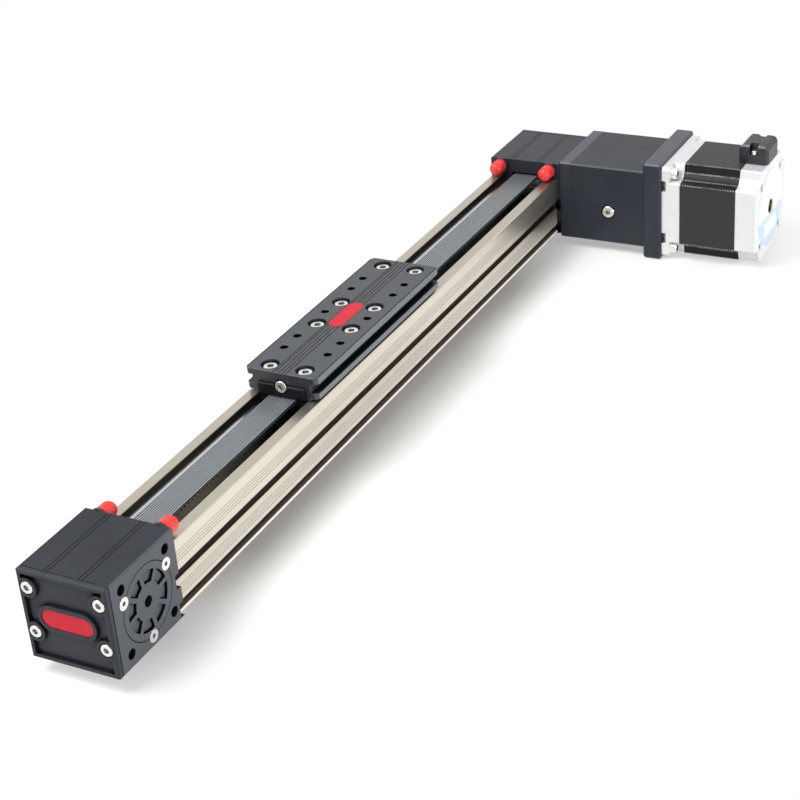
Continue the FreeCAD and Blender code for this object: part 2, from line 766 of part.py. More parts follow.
def motor_stator_stack():
    """Laminated stack with eight winding slots round the rotor bore."""
    body = prism(motor_outline(stack_y), Y * (front_cap_y - stack_y))
    cuts = [rod(14.5, vec(drive_x, stack_y, axis_z), Y, front_cap_y - stack_y)]
    for a in slot_places():
        place = vec(drive_x + 19.6 * math.cos(a), stack_y, axis_z + 19.6 * math.sin(a))
        cuts.append(rod(3.2, place, Y, front_cap_y - stack_y))
    for dx, dz in case_screw_places():
        cuts.append(rod(1.6, vec(drive_x + dx, stack_y, axis_z + dz), Y, front_cap_y - stack_y))
    return body.cut(cuts)


def motor_windings():
    """Eight coil bars through the stack, joined by a ring at each end."""
    parts = []
    for a in slot_places():
        place = vec(drive_x + 19.6 * math.cos(a), stack_y - 0.5, axis_z + 19.6 * math.sin(a))
        parts.append(rod(3.0, place, Y, front_cap_y - stack_y + 1.0))
    parts.append(ring(22.8, 16.4, vec(drive_x, stack_y - 3.4, axis_z), Y, 3.2))
    parts.append(ring(22.8, 16.4, vec(drive_x, front_cap_y + 0.2, axis_z), Y, 3.2))
    return joined(parts)


def motor_rear_cap():
    body = rounded_cap(motor_end_y, stack_y)
    rim = [e for e in body.Edges if abs(e.BoundBox.YMax - motor_end_y) < 0.01]
    body = body.makeChamfer(0.5, rim)
    cuts = [rod(23.6, vec(drive_x, stack_y - 3.8, axis_z), Y, 3.8),
            rod(motor_bearing_radius, vec(drive_x, -136.0 - motor_bearing_width, axis_z), Y, 8.0),
            rod(4.6, vec(drive_x, motor_end_y, axis_z), Y, 5.0)]
    for dx, dz in case_screw_places():
        cuts.append(rod(1.6, vec(drive_x + dx, motor_end_y, axis_z + dz), Y, 13.0))
        cuts.append(rod(2.45, vec(drive_x + dx, motor_end_y, axis_z + dz), Y, 2.6))
    return body.cut(cuts)


def case_screw_places():
    return [(dx * 18.4, dz * 18.4) for dx in (-1, 1) for dz in (-1, 1)]


def motor_case_screws():
    screws = []
    for dx, dz in case_screw_places():
        tip = vec(drive_x + dx, motor_end_y + 0.3, axis_z + dz)
        screws.append(socket_screw(2.25, 2.3, 1.25, 46.0, tip, -Y))
    return group(screws)


def motor_bearing_rings():
    rings = []
    for low in (-88.3 - motor_bearing_width, -136.0 - motor_bearing_width):
        rings.append(ring(motor_bearing_radius - 0.02, shaft_radius + 0.05, vec(drive_x, low, axis_z), Y,
                          motor_bearing_width))
    return group(rings)


def motor_label():
    return ring(23.4, 4.8, vec(drive_x, motor_end_y - 0.25, axis_z), Y, 0.25)


def motor_rear_ring():
    return ring(4.58, 4.1, vec(drive_x, motor_end_y, axis_z), Y, 1.6)


def motor_screws():
    screws = []
    for dx in (-1, 1):
        for dz in (-1, 1):
            x = drive_x + dx * motor_screw_place
            z = axis_z + dz * motor_screw_place
            screws.append(socket_screw(3.4, 3.9, 1.95, 11.0, vec(x, front_plate_y - 3.9, z), -Y))
    return group(screws)


def connector_housing():
    """Chamfered cap on the motor with a screw recess, cable notches and a socket towards +X."""
    body = box(connector_x, connector_y, connector_z)
    body = chamfered(body, 1.5, lambda e: along(e, Z))
    body = chamfered(body, 2.6, lambda e: along(e, X) and e.CenterOfMass.z > connector_z[1] - 0.01)
    body = chamfered(body, 1.2, lambda e: along(e, Y) and e.CenterOfMass.z > connector_z[1] - 0.01)
    middle = sum(connector_y) / 2
    cuts = [box((connector_x[0], connector_x[0] + 4.6), (middle - 2.4, middle + 2.4),
                (connector_z[1] - 6.0, connector_z[1])),
            rod(1.4, vec(connector_x[0] + 2.4, middle, connector_z[0]), Z, 11),
            rod(2.6, vec(connector_x[1] - 4.0, middle, connector_z[1] + 0.6), X, 4.0),
            box((connector_x[1] - 12.0, connector_x[1]), (middle - 6.0, middle + 6.0),
                (connector_z[0] + 1.2, connector_z[0] + 7.4))]
    return body.cut(cuts)


def connector_screw():
    middle = sum(connector_y) / 2
    tip = vec(connector_x[0] + 2.4, middle, connector_z[1] - 3.6)
    return socket_screw(2.1, 2.2, 1.3, 5.3, tip, Z)


def connector_header():
    """Plastic base with six contact pins at the back of the socket."""
    middle = sum(connector_y) / 2
    back = connector_x[1] - 12.0
    floor = connector_z[0] + 1.2
    base = box((back, back + 2.0), (middle - 6.0, middle + 6.0), (floor, floor + 6.2))
    pins = []
    for k in range(6):
        y = middle - 5.0 + 2.0 * k
        pins.append(box((back + 2.0, back + 7.5), (y - 0.35, y + 0.35), (floor + 2.7, floor + 3.4)))
    return joined([base] + pins)


def motor_shaft():
    low = motor_end_y + 2.4
    body = rod(shaft_radius, vec(drive_x, low, axis_z), Y, -57.6 - low)
    return body.makeChamfer(0.4, circles(body))


def motor_rotor():
    """Two toothed rotor cups on the shaft."""
    parts = []
    for low, high in ((-130.5, -115.8), (-114.8, -100.0)):
        cup = rod(14.1, vec(drive_x, low, axis_z), Y, high - low)
        flutes = []
        for k in range(25):
            a = 2 * math.pi * k / 25
            flutes.append(rod(0.45, vec(drive_x + 14.1 * math.cos(a), low, axis_z + 14.1 * math.sin(a)),
                              Y, high - low))
        parts.append(cup.cut(flutes))
    parts.append(rod(9.0, vec(drive_x, -116.0, axis_z), Y, 1.4))
    return joined(parts).cut(rod(shaft_radius + 0.01, vec(drive_x, -135, axis_z), Y, 40))


def sector(radius, inner, middle_angle, half_angle, y, width):
    """A ring sector about the drive axis."""
    blank = ring(radius, inner, vec(drive_x, y, axis_z), Y, width)
    reach = radius * 2
    points = [vec(drive_x, y, axis_z)]
    for step in (-1, 0, 1):
        a = math.radians(middle_angle + step * half_angle)
        points.append(vec(drive_x + reach * math.cos(a), y, axis_z + reach * math.sin(a)))
    return blank.common(prism(points, Y * width))


def coupling_hub(low, high, jaw_low, jaw_high, first_angle, screw_y_place):
    parts = [rod(12.0, vec(drive_x, low, axis_z), Y, high - low)]
    for k in range(3):
        parts.append(sector(12.0, 5.5, first_angle + 120 * k, 19.0, jaw_low, jaw_high - jaw_low))
    body = joined(parts)
    return body.cut([rod(shaft_radius + 0.01, vec(drive_x, low - 20, axis_z), Y, 60),
                     rod(2.0, vec(drive_x, screw_y_place, axis_z), Z, 20)])


def coupling_spider():
    """Elastic star between the coupling's jaws."""
    low = -57.2
    width = 7.4
    parts = [ring(5.3, 2.6, vec(drive_x, low, axis_z), Y, width)]
    for k in range(6):
        parts.append(sector(11.8, 4.0, 30 + 60 * k, 10.5, low, width))
    return joined(parts).cut(rod(2.6, vec(drive_x, low - 1, axis_z), Y, width + 2))


def coupling_screws():
    screws = []
    for y in (-42.0, -65.0):
        place = vec(drive_x, y, axis_z + shaft_radius + 0.1)
        grub = rod(1.95, place, Z, 7.6)
        screws.append(grub.cut(rod(1.1, place + Z * 7.6, Z, -3.0)))
    return group(screws)


def model():
    """Every node's name and shape."""
    nodes = {
        "rail_profile": rail_profile(),
        "guide_shaft_left": guide_shaft(1),
        "guide_shaft_right": guide_shaft(-1),
        "timing_belt": timing_belt(),
        "idler_block": pulley_block(-1),
        "drive_block": pulley_block(1),
        "idler_end_cover": end_cover(-1),
        "drive_end_cover": end_cover(1),
        "end_cover_screws": end_cover_screws(),
        "end_badges": end_badges(),
        "block_screws": block_screws(),
        "idler_bearing_cover_front": bearing_cover(idler_x, -1),
        "idler_bearing_cover_back": bearing_cover(idler_x, 1),
        "drive_bearing_cover": bearing_cover(drive_x, 1),
        "bearing_cover_screws": bearing_cover_screws(),
        "bearing_outer_rings": bearing_outer_rings(),
        "bearing_balls": bearing_balls(),
        "idler_bumpers": bumpers(-1),
        "drive_bumpers": bumpers(1),
        "bumper_seats": bumper_seats(),
        "adapter_plate": adapter_plate(),
        "coupling_housing": coupling_housing(),
        "access_plug": access_plug(),
        "housing_screws": housing_screws(),
        "motor_flange": motor_flange(),
        "motor_screws": motor_screws(),
        "motor_front_cap": motor_front_cap(),
        "motor_stator_stack": motor_stator_stack(),
        "motor_windings": motor_windings(),
        "motor_rear_cap": motor_rear_cap(),
        "motor_case_screws": motor_case_screws(),
        "motor_bearing_rings": motor_bearing_rings(),
        "motor_label": motor_label(),
        "motor_rear_ring": motor_rear_ring(),
        "connector_housing": connector_housing(),
        "connector_screw": connector_screw(),
        "connector_header": connector_header(),
        "idler_pulley": pulley(idler_x),
        "idler_shaft": idler_shaft(),
        "idler_inner_rings": bearing_inner_rings(idler_x),
        "drive_pulley": pulley(drive_x),
        "drive_shaft": drive_shaft(),
        "drive_inner_rings": bearing_inner_rings(drive_x),
        "coupling_hub_drive": coupling_hub(-49.7, -36.0, -57.0, -49.7, 0, -42.0),
        "coupling_hub_motor": coupling_hub(-71.0, -57.3, -57.3, -50.0, 60, -65.0),
        "coupling_spider": coupling_spider(),
        "coupling_screws": coupling_screws(),
        "motor_shaft": motor_shaft(),
        "motor_rotor": motor_rotor(),
        "carriage_plate": carriage_plate(),
        "carriage_body": carriage_body(),
        "carriage_plate_screws": carriage_plate_screws(),
        "carriage_badge": carriage_badge(),
        "belt_clamps": belt_clamps(),
        "belt_clamp_screws": belt_clamp_screws(),
        "roller_axles": roller_axles(),
    }
    for number, (dx, side) in enumerate(roller_places, 1):
        nodes["guide_roller_%d" % number] = guide_roller(dx, side)
    return nodes


os.makedirs("parts", exist_ok=True)
for name, shape in model().items():
    print(name, len(shape.Solids), round(shape.Volume, 1), shape.isValid())
    shape.exportStep("parts/%s.step" % name)
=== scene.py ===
import json
import math
import bmesh
import bpy
from mathutils import Matrix, Vector


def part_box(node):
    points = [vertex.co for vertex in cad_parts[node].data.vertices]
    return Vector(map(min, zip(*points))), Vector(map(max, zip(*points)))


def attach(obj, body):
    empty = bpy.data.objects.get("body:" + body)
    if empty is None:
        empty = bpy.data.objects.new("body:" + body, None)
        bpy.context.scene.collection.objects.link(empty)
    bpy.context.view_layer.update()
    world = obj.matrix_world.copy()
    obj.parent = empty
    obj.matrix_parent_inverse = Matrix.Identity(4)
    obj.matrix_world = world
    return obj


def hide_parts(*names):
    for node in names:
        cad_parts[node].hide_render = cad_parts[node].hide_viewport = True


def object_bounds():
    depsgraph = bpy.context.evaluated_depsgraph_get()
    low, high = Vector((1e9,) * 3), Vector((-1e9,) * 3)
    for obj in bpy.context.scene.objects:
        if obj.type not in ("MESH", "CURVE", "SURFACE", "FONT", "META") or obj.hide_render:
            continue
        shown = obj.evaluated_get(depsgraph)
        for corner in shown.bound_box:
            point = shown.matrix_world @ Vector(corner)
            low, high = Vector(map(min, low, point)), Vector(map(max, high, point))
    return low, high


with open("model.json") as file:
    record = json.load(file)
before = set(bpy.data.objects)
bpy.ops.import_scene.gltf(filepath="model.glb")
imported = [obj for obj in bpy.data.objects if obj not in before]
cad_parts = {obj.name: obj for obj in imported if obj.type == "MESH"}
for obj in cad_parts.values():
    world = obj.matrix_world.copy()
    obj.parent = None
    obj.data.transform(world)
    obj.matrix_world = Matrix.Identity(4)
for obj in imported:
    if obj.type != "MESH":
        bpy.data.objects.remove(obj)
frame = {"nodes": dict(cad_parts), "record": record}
cadLow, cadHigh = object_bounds()
nodes = frame["nodes"]
mm = 0.001


def linear(red, green, blue):
    # screen values 0 to 255 turned into the linear colour that the shaders use
    values = []
    for level in (red, green, blue):
        share = level / 255
        values.append(share / 12.92 if share <= 0.04045 else ((share + 0.055) / 1.055) ** 2.4)
    return (*values, 1.0)


def boxOf(name):
    low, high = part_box(name)
    return low, high, (low + high) / 2


# short ways to put shader nodes together


def put(tree, kind, inputs=None, **settings):
    # one node with its settings; an input is a value or another node's output socket
    node = tree.nodes.new(kind)
    for key, value in settings.items():
        setattr(node, key, value)
    for key, value in (inputs or {}).items():
        if isinstance(value, bpy.types.NodeSocket):
            tree.links.new(value, node.inputs[key])
        else:
            node.inputs[key].default_value = value
    return node


def maths(tree, operation, first, second=0.0, clamp=False):
    node = put(tree, "ShaderNodeMath", {0: first, 1: second}, operation=operation)
    node.use_clamp = clamp
    return node.outputs[0]


def spread(tree, value, low, high, newLow=0.0, newHigh=1.0):
    node = put(tree, "ShaderNodeMapRange", {0: value, 1: low, 2: high, 3: newLow, 4: newHigh})
    return node.outputs[0]


def between(tree, value, low, high):
    return maths(tree, "MULTIPLY", maths(tree, "GREATER_THAN", value, low),
                 maths(tree, "LESS_THAN", value, high))


def nearAny(tree, value, places, reach):
    # 1 where the value lies within reach of one of the places
    result = 0.0
    for place in places:
        near = put(tree, "ShaderNodeMath", {0: value, 1: place, 2: reach}, operation="COMPARE")
        result = maths(tree, "MAXIMUM", near.outputs[0], result)
    return result


def distanceFrom(tree, value, place):
    return maths(tree, "ABSOLUTE", maths(tree, "SUBTRACT", value, place))


def placeParts(tree):
    # the point on the object, as its X, Y and Z
    place = put(tree, "ShaderNodeTexCoord")
    return put(tree, "ShaderNodeSeparateXYZ", {0: place.outputs["Object"]}).outputs


def facingParts(tree):
    # the way that the surface faces, as its X, Y and Z
    surface = put(tree, "ShaderNodeNewGeometry")
    return put(tree, "ShaderNodeSeparateXYZ", {0: surface.outputs["Normal"]}).outputs


def seenRay(tree):
    # 1 for what the camera sees, straight or by reflection or through glass, 0 for the light itself
    ray = put(tree, "ShaderNodeLightPath")
    straight = maths(tree, "MAXIMUM", ray.outputs["Is Camera Ray"], ray.outputs["Is Glossy Ray"])
    return maths(tree, "MAXIMUM", straight, ray.outputs["Is Transmission Ray"])


def blendColours(tree, share, first, second):
    # the colour sockets of the mix node are numbers 6 and 7, and its colour output is number 2
    node = put(tree, "ShaderNodeMix", data_type="RGBA")
    for key, value in ((0, share), (6, first), (7, second)):
        if isinstance(value, bpy.types.NodeSocket):
            tree.links.new(value, node.inputs[key])
        else:
            node.inputs[key].default_value = value
    return node.outputs[2]


# effects that several finishes share, each a node group


def startGroup(name, inputs, outputs):
    tree = bpy.data.node_groups.new(name, "ShaderNodeTree")
    for label, value in inputs.items():
        kind = "NodeSocketVector" if isinstance(value, tuple) else "NodeSocketFloat"
        socket = tree.interface.new_socket(name=label, in_out="INPUT", socket_type=kind)
        socket.default_value = value
    for label, kind in outputs.items():
        tree.interface.new_socket(name=label, in_out="OUTPUT", socket_type=kind)
    return tree, tree.nodes.new("NodeGroupInput"), tree.nodes.new("NodeGroupOutput")


def makeSoftEdges():
    # rounded edge normal and a mask of the outer edges, for wear and for small highlights
    tree, enter, leave = startGroup("softEdges", {"Radius": 0.0003, "Break": 400.0},
                                    {"Normal": "NodeSocketVector", "Edge": "NodeSocketFloat"})
    bevel = put(tree, "ShaderNodeBevel", {"Radius": enter.outputs["Radius"]}, samples=5)
    surface = put(tree, "ShaderNodeNewGeometry")
    facing = put(tree, "ShaderNodeVectorMath", {0: bevel.outputs[0], 1: surface.outputs["Normal"]},
                 operation="DOT_PRODUCT")
    turned = spread(tree, facing.outputs["Value"], 0.995, 0.90)  # from 6 to 26 degrees off the face
    place = put(tree, "ShaderNodeTexCoord")
    patches = put(tree, "ShaderNodeTexNoise", {"Vector": place.outputs["Object"],
                                               "Scale": enter.outputs["Break"], "Detail": 3.0})
    broken = spread(tree, patches.outputs[0], 0.42, 0.62)  # worn in patches only
    tree.links.new(maths(tree, "MULTIPLY", turned, broken), leave.inputs["Edge"])
    tree.links.new(bevel.outputs[0], leave.inputs["Normal"])
    return tree


def makeFineGrain():
    # blasted or cast surface: two sizes of grain in one height, the coarse one over five times larger
    tree, enter, leave = startGroup("fineGrain", {"Size": 0.0004, "Coarse": 0.3},
                                    {"Grain": "NodeSocketFloat"})
    place = put(tree, "ShaderNodeTexCoord")
    often = maths(tree, "DIVIDE", 1.0, enter.outputs["Size"])
    small = put(tree, "ShaderNodeTexNoise", {"Vector": place.outputs["Object"], "Scale": often,
                                             "Detail": 2.0, "Roughness": 0.6})
    large = put(tree, "ShaderNodeTexNoise", {"Vector": place.outputs["Object"],
                                             "Scale": maths(tree, "MULTIPLY", often, 0.18), "Detail": 2.0})
    both = put(tree, "ShaderNodeMix", {0: enter.outputs["Coarse"], 2: small.outputs[0], 3: large.outputs[0]})
    tree.links.new(both.outputs[0], leave.inputs["Grain"])
    return tree


def makeDrawnLines():
    # fine lines along one direction, as on drawn or ground metal
    tree, enter, leave = startGroup("drawnLines", {"Stretch": (4.0, 2500.0, 2500.0)},
                                    {"Lines": "NodeSocketFloat", "Bands": "NodeSocketFloat"})
    place = put(tree, "ShaderNodeTexCoord")
    scaled = put(tree, "ShaderNodeVectorMath", {0: place.outputs["Object"], 1: enter.outputs["Stretch"]},
                 operation="MULTIPLY")
    fine = put(tree, "ShaderNodeTexNoise", {"Vector": scaled.outputs[0], "Scale": 1.0, "Detail": 3.0,
                                            "Roughness": 0.65})
    wide = put(tree, "ShaderNodeTexNoise", {"Vector": scaled.outputs[0], "Scale": 0.17, "Detail": 2.0})
    tree.links.new(fine.outputs[0], leave.inputs["Lines"])
    tree.links.new(wide.outputs[0], leave.inputs["Bands"])
    return tree


def makeSettledDust():
    # soft patches of dust and handling, a low mask that fades over 0.2 of the noise each way
    tree, enter, leave = startGroup("settledDust", {"Size": 0.03, "Cover": 0.35},
                                    {"Mask": "NodeSocketFloat"})
    place = put(tree, "ShaderNodeTexCoord")
    often = maths(tree, "DIVIDE", 1.0, enter.outputs["Size"])
    patches = put(tree, "ShaderNodeTexNoise", {"Vector": place.outputs["Object"], "Scale": often,
                                               "Detail": 5.0, "Roughness": 0.6, "Distortion": 0.4})
    middle = maths(tree, "SUBTRACT", 1.0, enter.outputs["Cover"])
    mask = spread(tree, patches.outputs[0], maths(tree, "SUBTRACT", middle, 0.2),
                  maths(tree, "ADD", middle, 0.2))
    tree.links.new(mask, leave.inputs["Mask"])
    return tree


def makeCrevices():
    # mask of sockets, holes, grooves and inner corners, found by how much a point is hidden; the finishes
    # paint shade into them with it
    tree, enter, leave = startGroup("crevices", {"Distance": 0.003, "Open": 0.8, "Closed": 0.3},
                                    {"Deep": "NodeSocketFloat"})
    hidden = put(tree, "ShaderNodeAmbientOcclusion", {"Distance": enter.outputs["Distance"]},
                 samples=6, only_local=True)
    creviceShade = spread(tree, hidden.outputs["AO"], enter.outputs["Open"], enter.outputs["Closed"])
    tree.links.new(creviceShade, leave.inputs["Deep"])
    return tree


effects = {
    "softEdges": makeSoftEdges(),
    "crevices": makeCrevices(),
    "fineGrain": makeFineGrain(),
    "drawnLines": makeDrawnLines(),
    "settledDust": makeSettledDust(),
}
# each effect's inputs, and the words for them in a finish's values
effectValues = {
    "softEdges": {"Radius": "edgeRadius"},
    "crevices": {"Distance": "creviceReach", "Open": "creviceOpen", "Closed": "creviceClosed"},
    "fineGrain": {"Size": "grainSize", "Coarse": "grainCoarse"},
    "drawnLines": {"Stretch": "lineStretch"},
    "settledDust": {"Size": "dustSize", "Cover": "dustCover"},
}
print("shared effects ready:", len(effects))


class Finish:
    # a material with its Principled shader, fed from one dictionary of values

    def __init__(self, name, values):
        self.values = values
        self.material = bpy.data.materials.new(name)
        self.material.use_nodes = True
        self.material.diffuse_color = values["colour"]
        self.tree = self.material.node_tree
        self.tree.nodes.clear()
        self.shader = self.tree.nodes.new("ShaderNodeBsdfPrincipled")
        out = self.tree.nodes.new("ShaderNodeOutputMaterial")
        self.tree.links.new(self.shader.outputs[0], out.inputs[0])
        for key, value in (("Base Color", values["colour"]), ("Roughness", values["roughness"]),
                           ("Metallic", values.get("metallic", 0.0)),
                           ("Specular IOR Level", values.get("specular", 0.5)),
                           ("Coat Weight", values.get("coat", 0.0)),
                           ("Coat Roughness", values.get("coatRoughness", 0.1))):
            self.shader.inputs[key].default_value = value

    def effect(self, name, values=None):
        node = put(self.tree, "ShaderNodeGroup", node_tree=effects[name])
        values = values or self.values
        for key, word in effectValues[name].items():
            if word in values:
                node.inputs[key].default_value = values[word]
        return node.outputs

    def feed(self, key, source):
        self.tree.links.new(source, self.shader.inputs[key])

    def tint(self, *layers):
        # base colour with masks laid over it; each layer's word stands for its share and colour
        result = self.values["colour"]
        for mask, word in layers:
            share, colour = self.values[word]
            result = blendColours(self.tree, maths(self.tree, "MULTIPLY", mask, share, True), result, colour)
        self.feed("Base Color", result)

    def vary(self, source):
        # roughness swings each way with the source, a noise that lies mostly from 0.3 to 0.7
        middle, swing = self.values["roughness"], self.values["roughnessSwing"]
        self.feed("Roughness", spread(self.tree, source, 0.3, 0.7, middle - swing, middle + swing))

    def relief(self, height, normal=None):
        inputs = {"Height": height, "Distance": self.values["reliefDepth"], "Strength": 1.0}
        if normal is not None:
            inputs["Normal"] = normal
        self.feed("Normal", put(self.tree, "ShaderNodeBump", inputs).outputs[0])

    def dullCrevices(self, creviceShade):
        # holes and corners lose their shine, all of it where they are 0.8 deep
        self.feed("Specular IOR Level", spread(self.tree, creviceShade, 0.0, 0.8, self.values["specular"],
                                               self.values["creviceSpecular"]))


# the finishes: in each dictionary, a share with a colour is one layer over the finish's own colour

railFinish = {
    "colour": linear(219, 212, 199),
    "roughness": 0.3,
    "roughnessSwing": 0.02,
    "metallic": 0.9,
    "footMetallic": 0.0,
    "reliefDepth": 0.002 * mm,
    "edgeRadius": 0.08 * mm,
    "lineStretch": (0.12, 1300.0, 1300.0),
    "bands": (0.3, linear(200, 193, 179)),
    "shade": (0.45, linear(96, 92, 86)),
    "litFoot": (0.9, linear(246, 241, 229)),
    "shadedGrooves": (0.55, linear(150, 142, 128)),
    "shadedTop": (0.8, linear(178, 172, 158)),
    "shadedWall": (0.85, linear(66, 61, 54)),
    "depth": (0.85, linear(250, 243, 222)),
    "carriageShade": (0.8, linear(66, 61, 54)),
    "shadedSlots": (0.94, linear(128, 118, 106)),
    "wear": (0.35, linear(240, 237, 230)),
    "bandSpan": (0.45, 0.7),
    "grooveHeights": (8.7, 10.3, 11.9, 13.4, 25.0, 26.6, 28.1, 29.6),
    "grooveReach": 0.22 * mm,
    "sideStart": 19.5 * mm,
    "topStart": 35.4 * mm,
    "footTop": 2.1 * mm,
    "slotDepths": (15.0 * mm, 19.8 * mm),
    "lowerSlot": (0.5 * mm, 7.8 * mm),
    "upperSlot": (15.3 * mm, 22.6 * mm),
    "channelHalf": 14.25 * mm,
    "wallHeights": (23.6 * mm, 35.0 * mm),
    "depthHeights": (6.5 * mm, 23.6 * mm),
    "depthFade": (-140 * mm, -85 * mm),
    "shadeSide": -19.0 * mm,
    "shadeFade": (120 * mm, 200 * mm),
    "metalFade": (3 * mm, 16 * mm),
}


def railAnodised():
    look = railFinish
    made = Finish("railAnodised", look)
    tree = made.tree
    lines = made.effect("drawnLines")
    edges = made.effect("softEdges")
    along, sideways, height = placeParts(tree)
    outward = maths(tree, "ABSOLUTE", sideways)
    bands = spread(tree, lines["Bands"], *look["bandSpan"])
    # painted shade in the fine grooves along both sides
    shadedGrooves = maths(tree, "MULTIPLY", maths(tree, "GREATER_THAN", outward, look["sideStart"]),
                    nearAny(tree, height, [level * mm for level in look["grooveHeights"]],
                            look["grooveReach"]))
    # painted shade: the top faces of the lips are painted darker than the sides
    shadedTop = maths(tree, "GREATER_THAN", height, look["topStart"])
    # painted shade in the two slots on each side
    shadedSlots = maths(tree, "MULTIPLY", between(tree, outward, *look["slotDepths"]),
                  maths(tree, "MAXIMUM", between(tree, height, *look["lowerSlot"]),
                        between(tree, height, *look["upperSlot"])))
    # in the channel: painted shade on the wall under the lips, painted light on the pale depth below it, and
    # painted shade over that depth near the carriage, where it ends
    inside = maths(tree, "LESS_THAN", outward, look["channelHalf"])
    shadedWall = maths(tree, "MULTIPLY", inside, between(tree, height, *look["wallHeights"]))
    depth = maths(tree, "MULTIPLY", inside, between(tree, height, *look["depthHeights"]))
    carriageShade = maths(tree, "MULTIPLY", depth, spread(tree, along, *look["depthFade"]))
    # painted light: the foot of each side is painted paler
    litFoot = maths(tree, "LESS_THAN", height, look["footTop"])
    # painted shade and reflection of the dark housing: the side beside the motor's housing is a little
    # darker towards it
    shade = maths(tree, "MULTIPLY", maths(tree, "LESS_THAN", sideways, look["shadeSide"]),
                  spread(tree, along, *look["shadeFade"]))
    made.tint((bands, "bands"), (shade, "shade"), (litFoot, "litFoot"), (shadedGrooves, "shadedGrooves"), (shadedTop, "shadedTop"),
              (shadedWall, "shadedWall"), (depth, "depth"), (carriageShade, "carriageShade"), (shadedSlots, "shadedSlots"),
              (edges["Edge"], "wear"))
    # less metallic towards the foot and in the channel's depth, which keeps both pale
    metal = spread(tree, height, *look["metalFade"], look["footMetallic"], look["metallic"])
    made.feed("Metallic", maths(tree, "MULTIPLY", metal, spread(tree, depth, 0.0, 1.0, 1.0, 0.0)))
    made.vary(lines["Lines"])
    made.relief(lines["Lines"], edges["Normal"])
    return made.material


blackFinish = {
    "roughness": 0.42,
    "roughnessSwing": 0.06,
    "creviceSpecular": 0.02,
    "reliefDepth": 0.014 * mm,
    "grainSize": 0.35 * mm,
    "grainCoarse": 0.4,
    "edgeRadius": 0.35 * mm,
    "dustSize": 35 * mm,
    "dustCover": 0.4,
    "creviceReach": 3.5 * mm,
    "creviceOpen": 0.86,
    "creviceClosed": 0.46,
    "dust": (0.12, linear(84, 88, 93)),
    "wear": (0.3, linear(112, 116, 123)),
    "lines": (0.85, linear(6, 7, 9)),
    "rims": (0.8, linear(6, 7, 9)),
    # painted shade in crevices
    "creviceShade": (0.95, linear(6, 7, 9)),
    "litSideColour": linear(86, 90, 96),
    "upwardLightColour": linear(170, 174, 180),
    "facingAbove": 0.7,
    "lineHeights": (44.5 * mm, 45.2 * mm),
    "lineOffsets": (7.8, 9.7),
    "lineReach": 0.32 * mm,
    "rimReach": 0.22 * mm,
}
# litSideShare: painted light on faces that look to either side; upwardLightShare: painted light on faces
# that look up
blackShades = {
    "blackBlock": {"colour": linear(22, 27, 34), "specular": 0.3, "litSideShare": 0.75, "upwardLightShare": 0.0},
    "blackHousing": {"colour": linear(36, 41, 49), "specular": 0.3, "litSideShare": 0.75, "upwardLightShare": 0.0},
    "blackCover": {"colour": linear(38, 42, 49), "specular": 0.3, "litSideShare": 0.0, "upwardLightShare": 0.0},
    "blackFlange": {"colour": linear(40, 45, 53), "specular": 0.3, "litSideShare": 0.0, "upwardLightShare": 0.17},
    # painted shade under the carriage plate: darker and less shiny than the rest
    "blackCarriage": {"colour": linear(12, 15, 20), "specular": 0.12, "litSideShare": 0.0, "upwardLightShare": 0.0},
}


def coverRims(tree, along, height):
    # dark circles on the side faces, round the two round bearing covers
    rims = 0.0
    for cover in ("idler_bearing_cover_front", "drive_bearing_cover"):
        low, high, middle = boxOf(cover)
        across = maths(tree, "SUBTRACT", along, middle.x)
        above = maths(tree, "SUBTRACT", height, middle.z)
        reach = maths(tree, "SQRT", maths(tree, "ADD", maths(tree, "MULTIPLY", across, across),
                                          maths(tree, "MULTIPLY", above, above)))
        rim = nearAny(tree, reach, [(high.x - low.x) / 2], blackFinish["rimReach"])
        rims = maths(tree, "MAXIMUM", rim, rims)
    return rims


def blackAnodised(name):
    look = {**blackFinish, **blackShades[name]}
    look["litSides"] = (look["litSideShare"], look["litSideColour"])
    look["litTop"] = (look["upwardLightShare"], look["upwardLightColour"])
    made = Finish(name, look)
    tree = made.tree
    edges = made.effect("softEdges")
    grain = made.effect("fineGrain")
    dust = made.effect("settledDust")
    crevices = made.effect("crevices")
    along, sideways, height = placeParts(tree)
    # the pairs of fine lines along the top of both pulley blocks
    outward = maths(tree, "ABSOLUTE", sideways)
    lines = maths(tree, "MULTIPLY", between(tree, height, *look["lineHeights"]),
                  nearAny(tree, outward, [offset * mm for offset in look["lineOffsets"]], look["lineReach"]))
    facing = facingParts(tree)
    # painted light: faces that look up and faces that look to either side are painted paler
    upper = maths(tree, "GREATER_THAN", facing["Z"], look["facingAbove"])
    litSides = maths(tree, "GREATER_THAN", maths(tree, "ABSOLUTE", facing["Y"]), look["facingAbove"])
    rims = maths(tree, "MULTIPLY", coverRims(tree, along, height), litSides)
    made.tint((litSides, "litSides"), (dust["Mask"], "dust"), (upper, "litTop"), (edges["Edge"], "wear"),
              (lines, "lines"), (rims, "rims"), (crevices["Deep"], "creviceShade"))
    made.dullCrevices(crevices["Deep"])
    made.vary(grain["Grain"])
    made.relief(grain["Grain"], edges["Normal"])
    return made.material


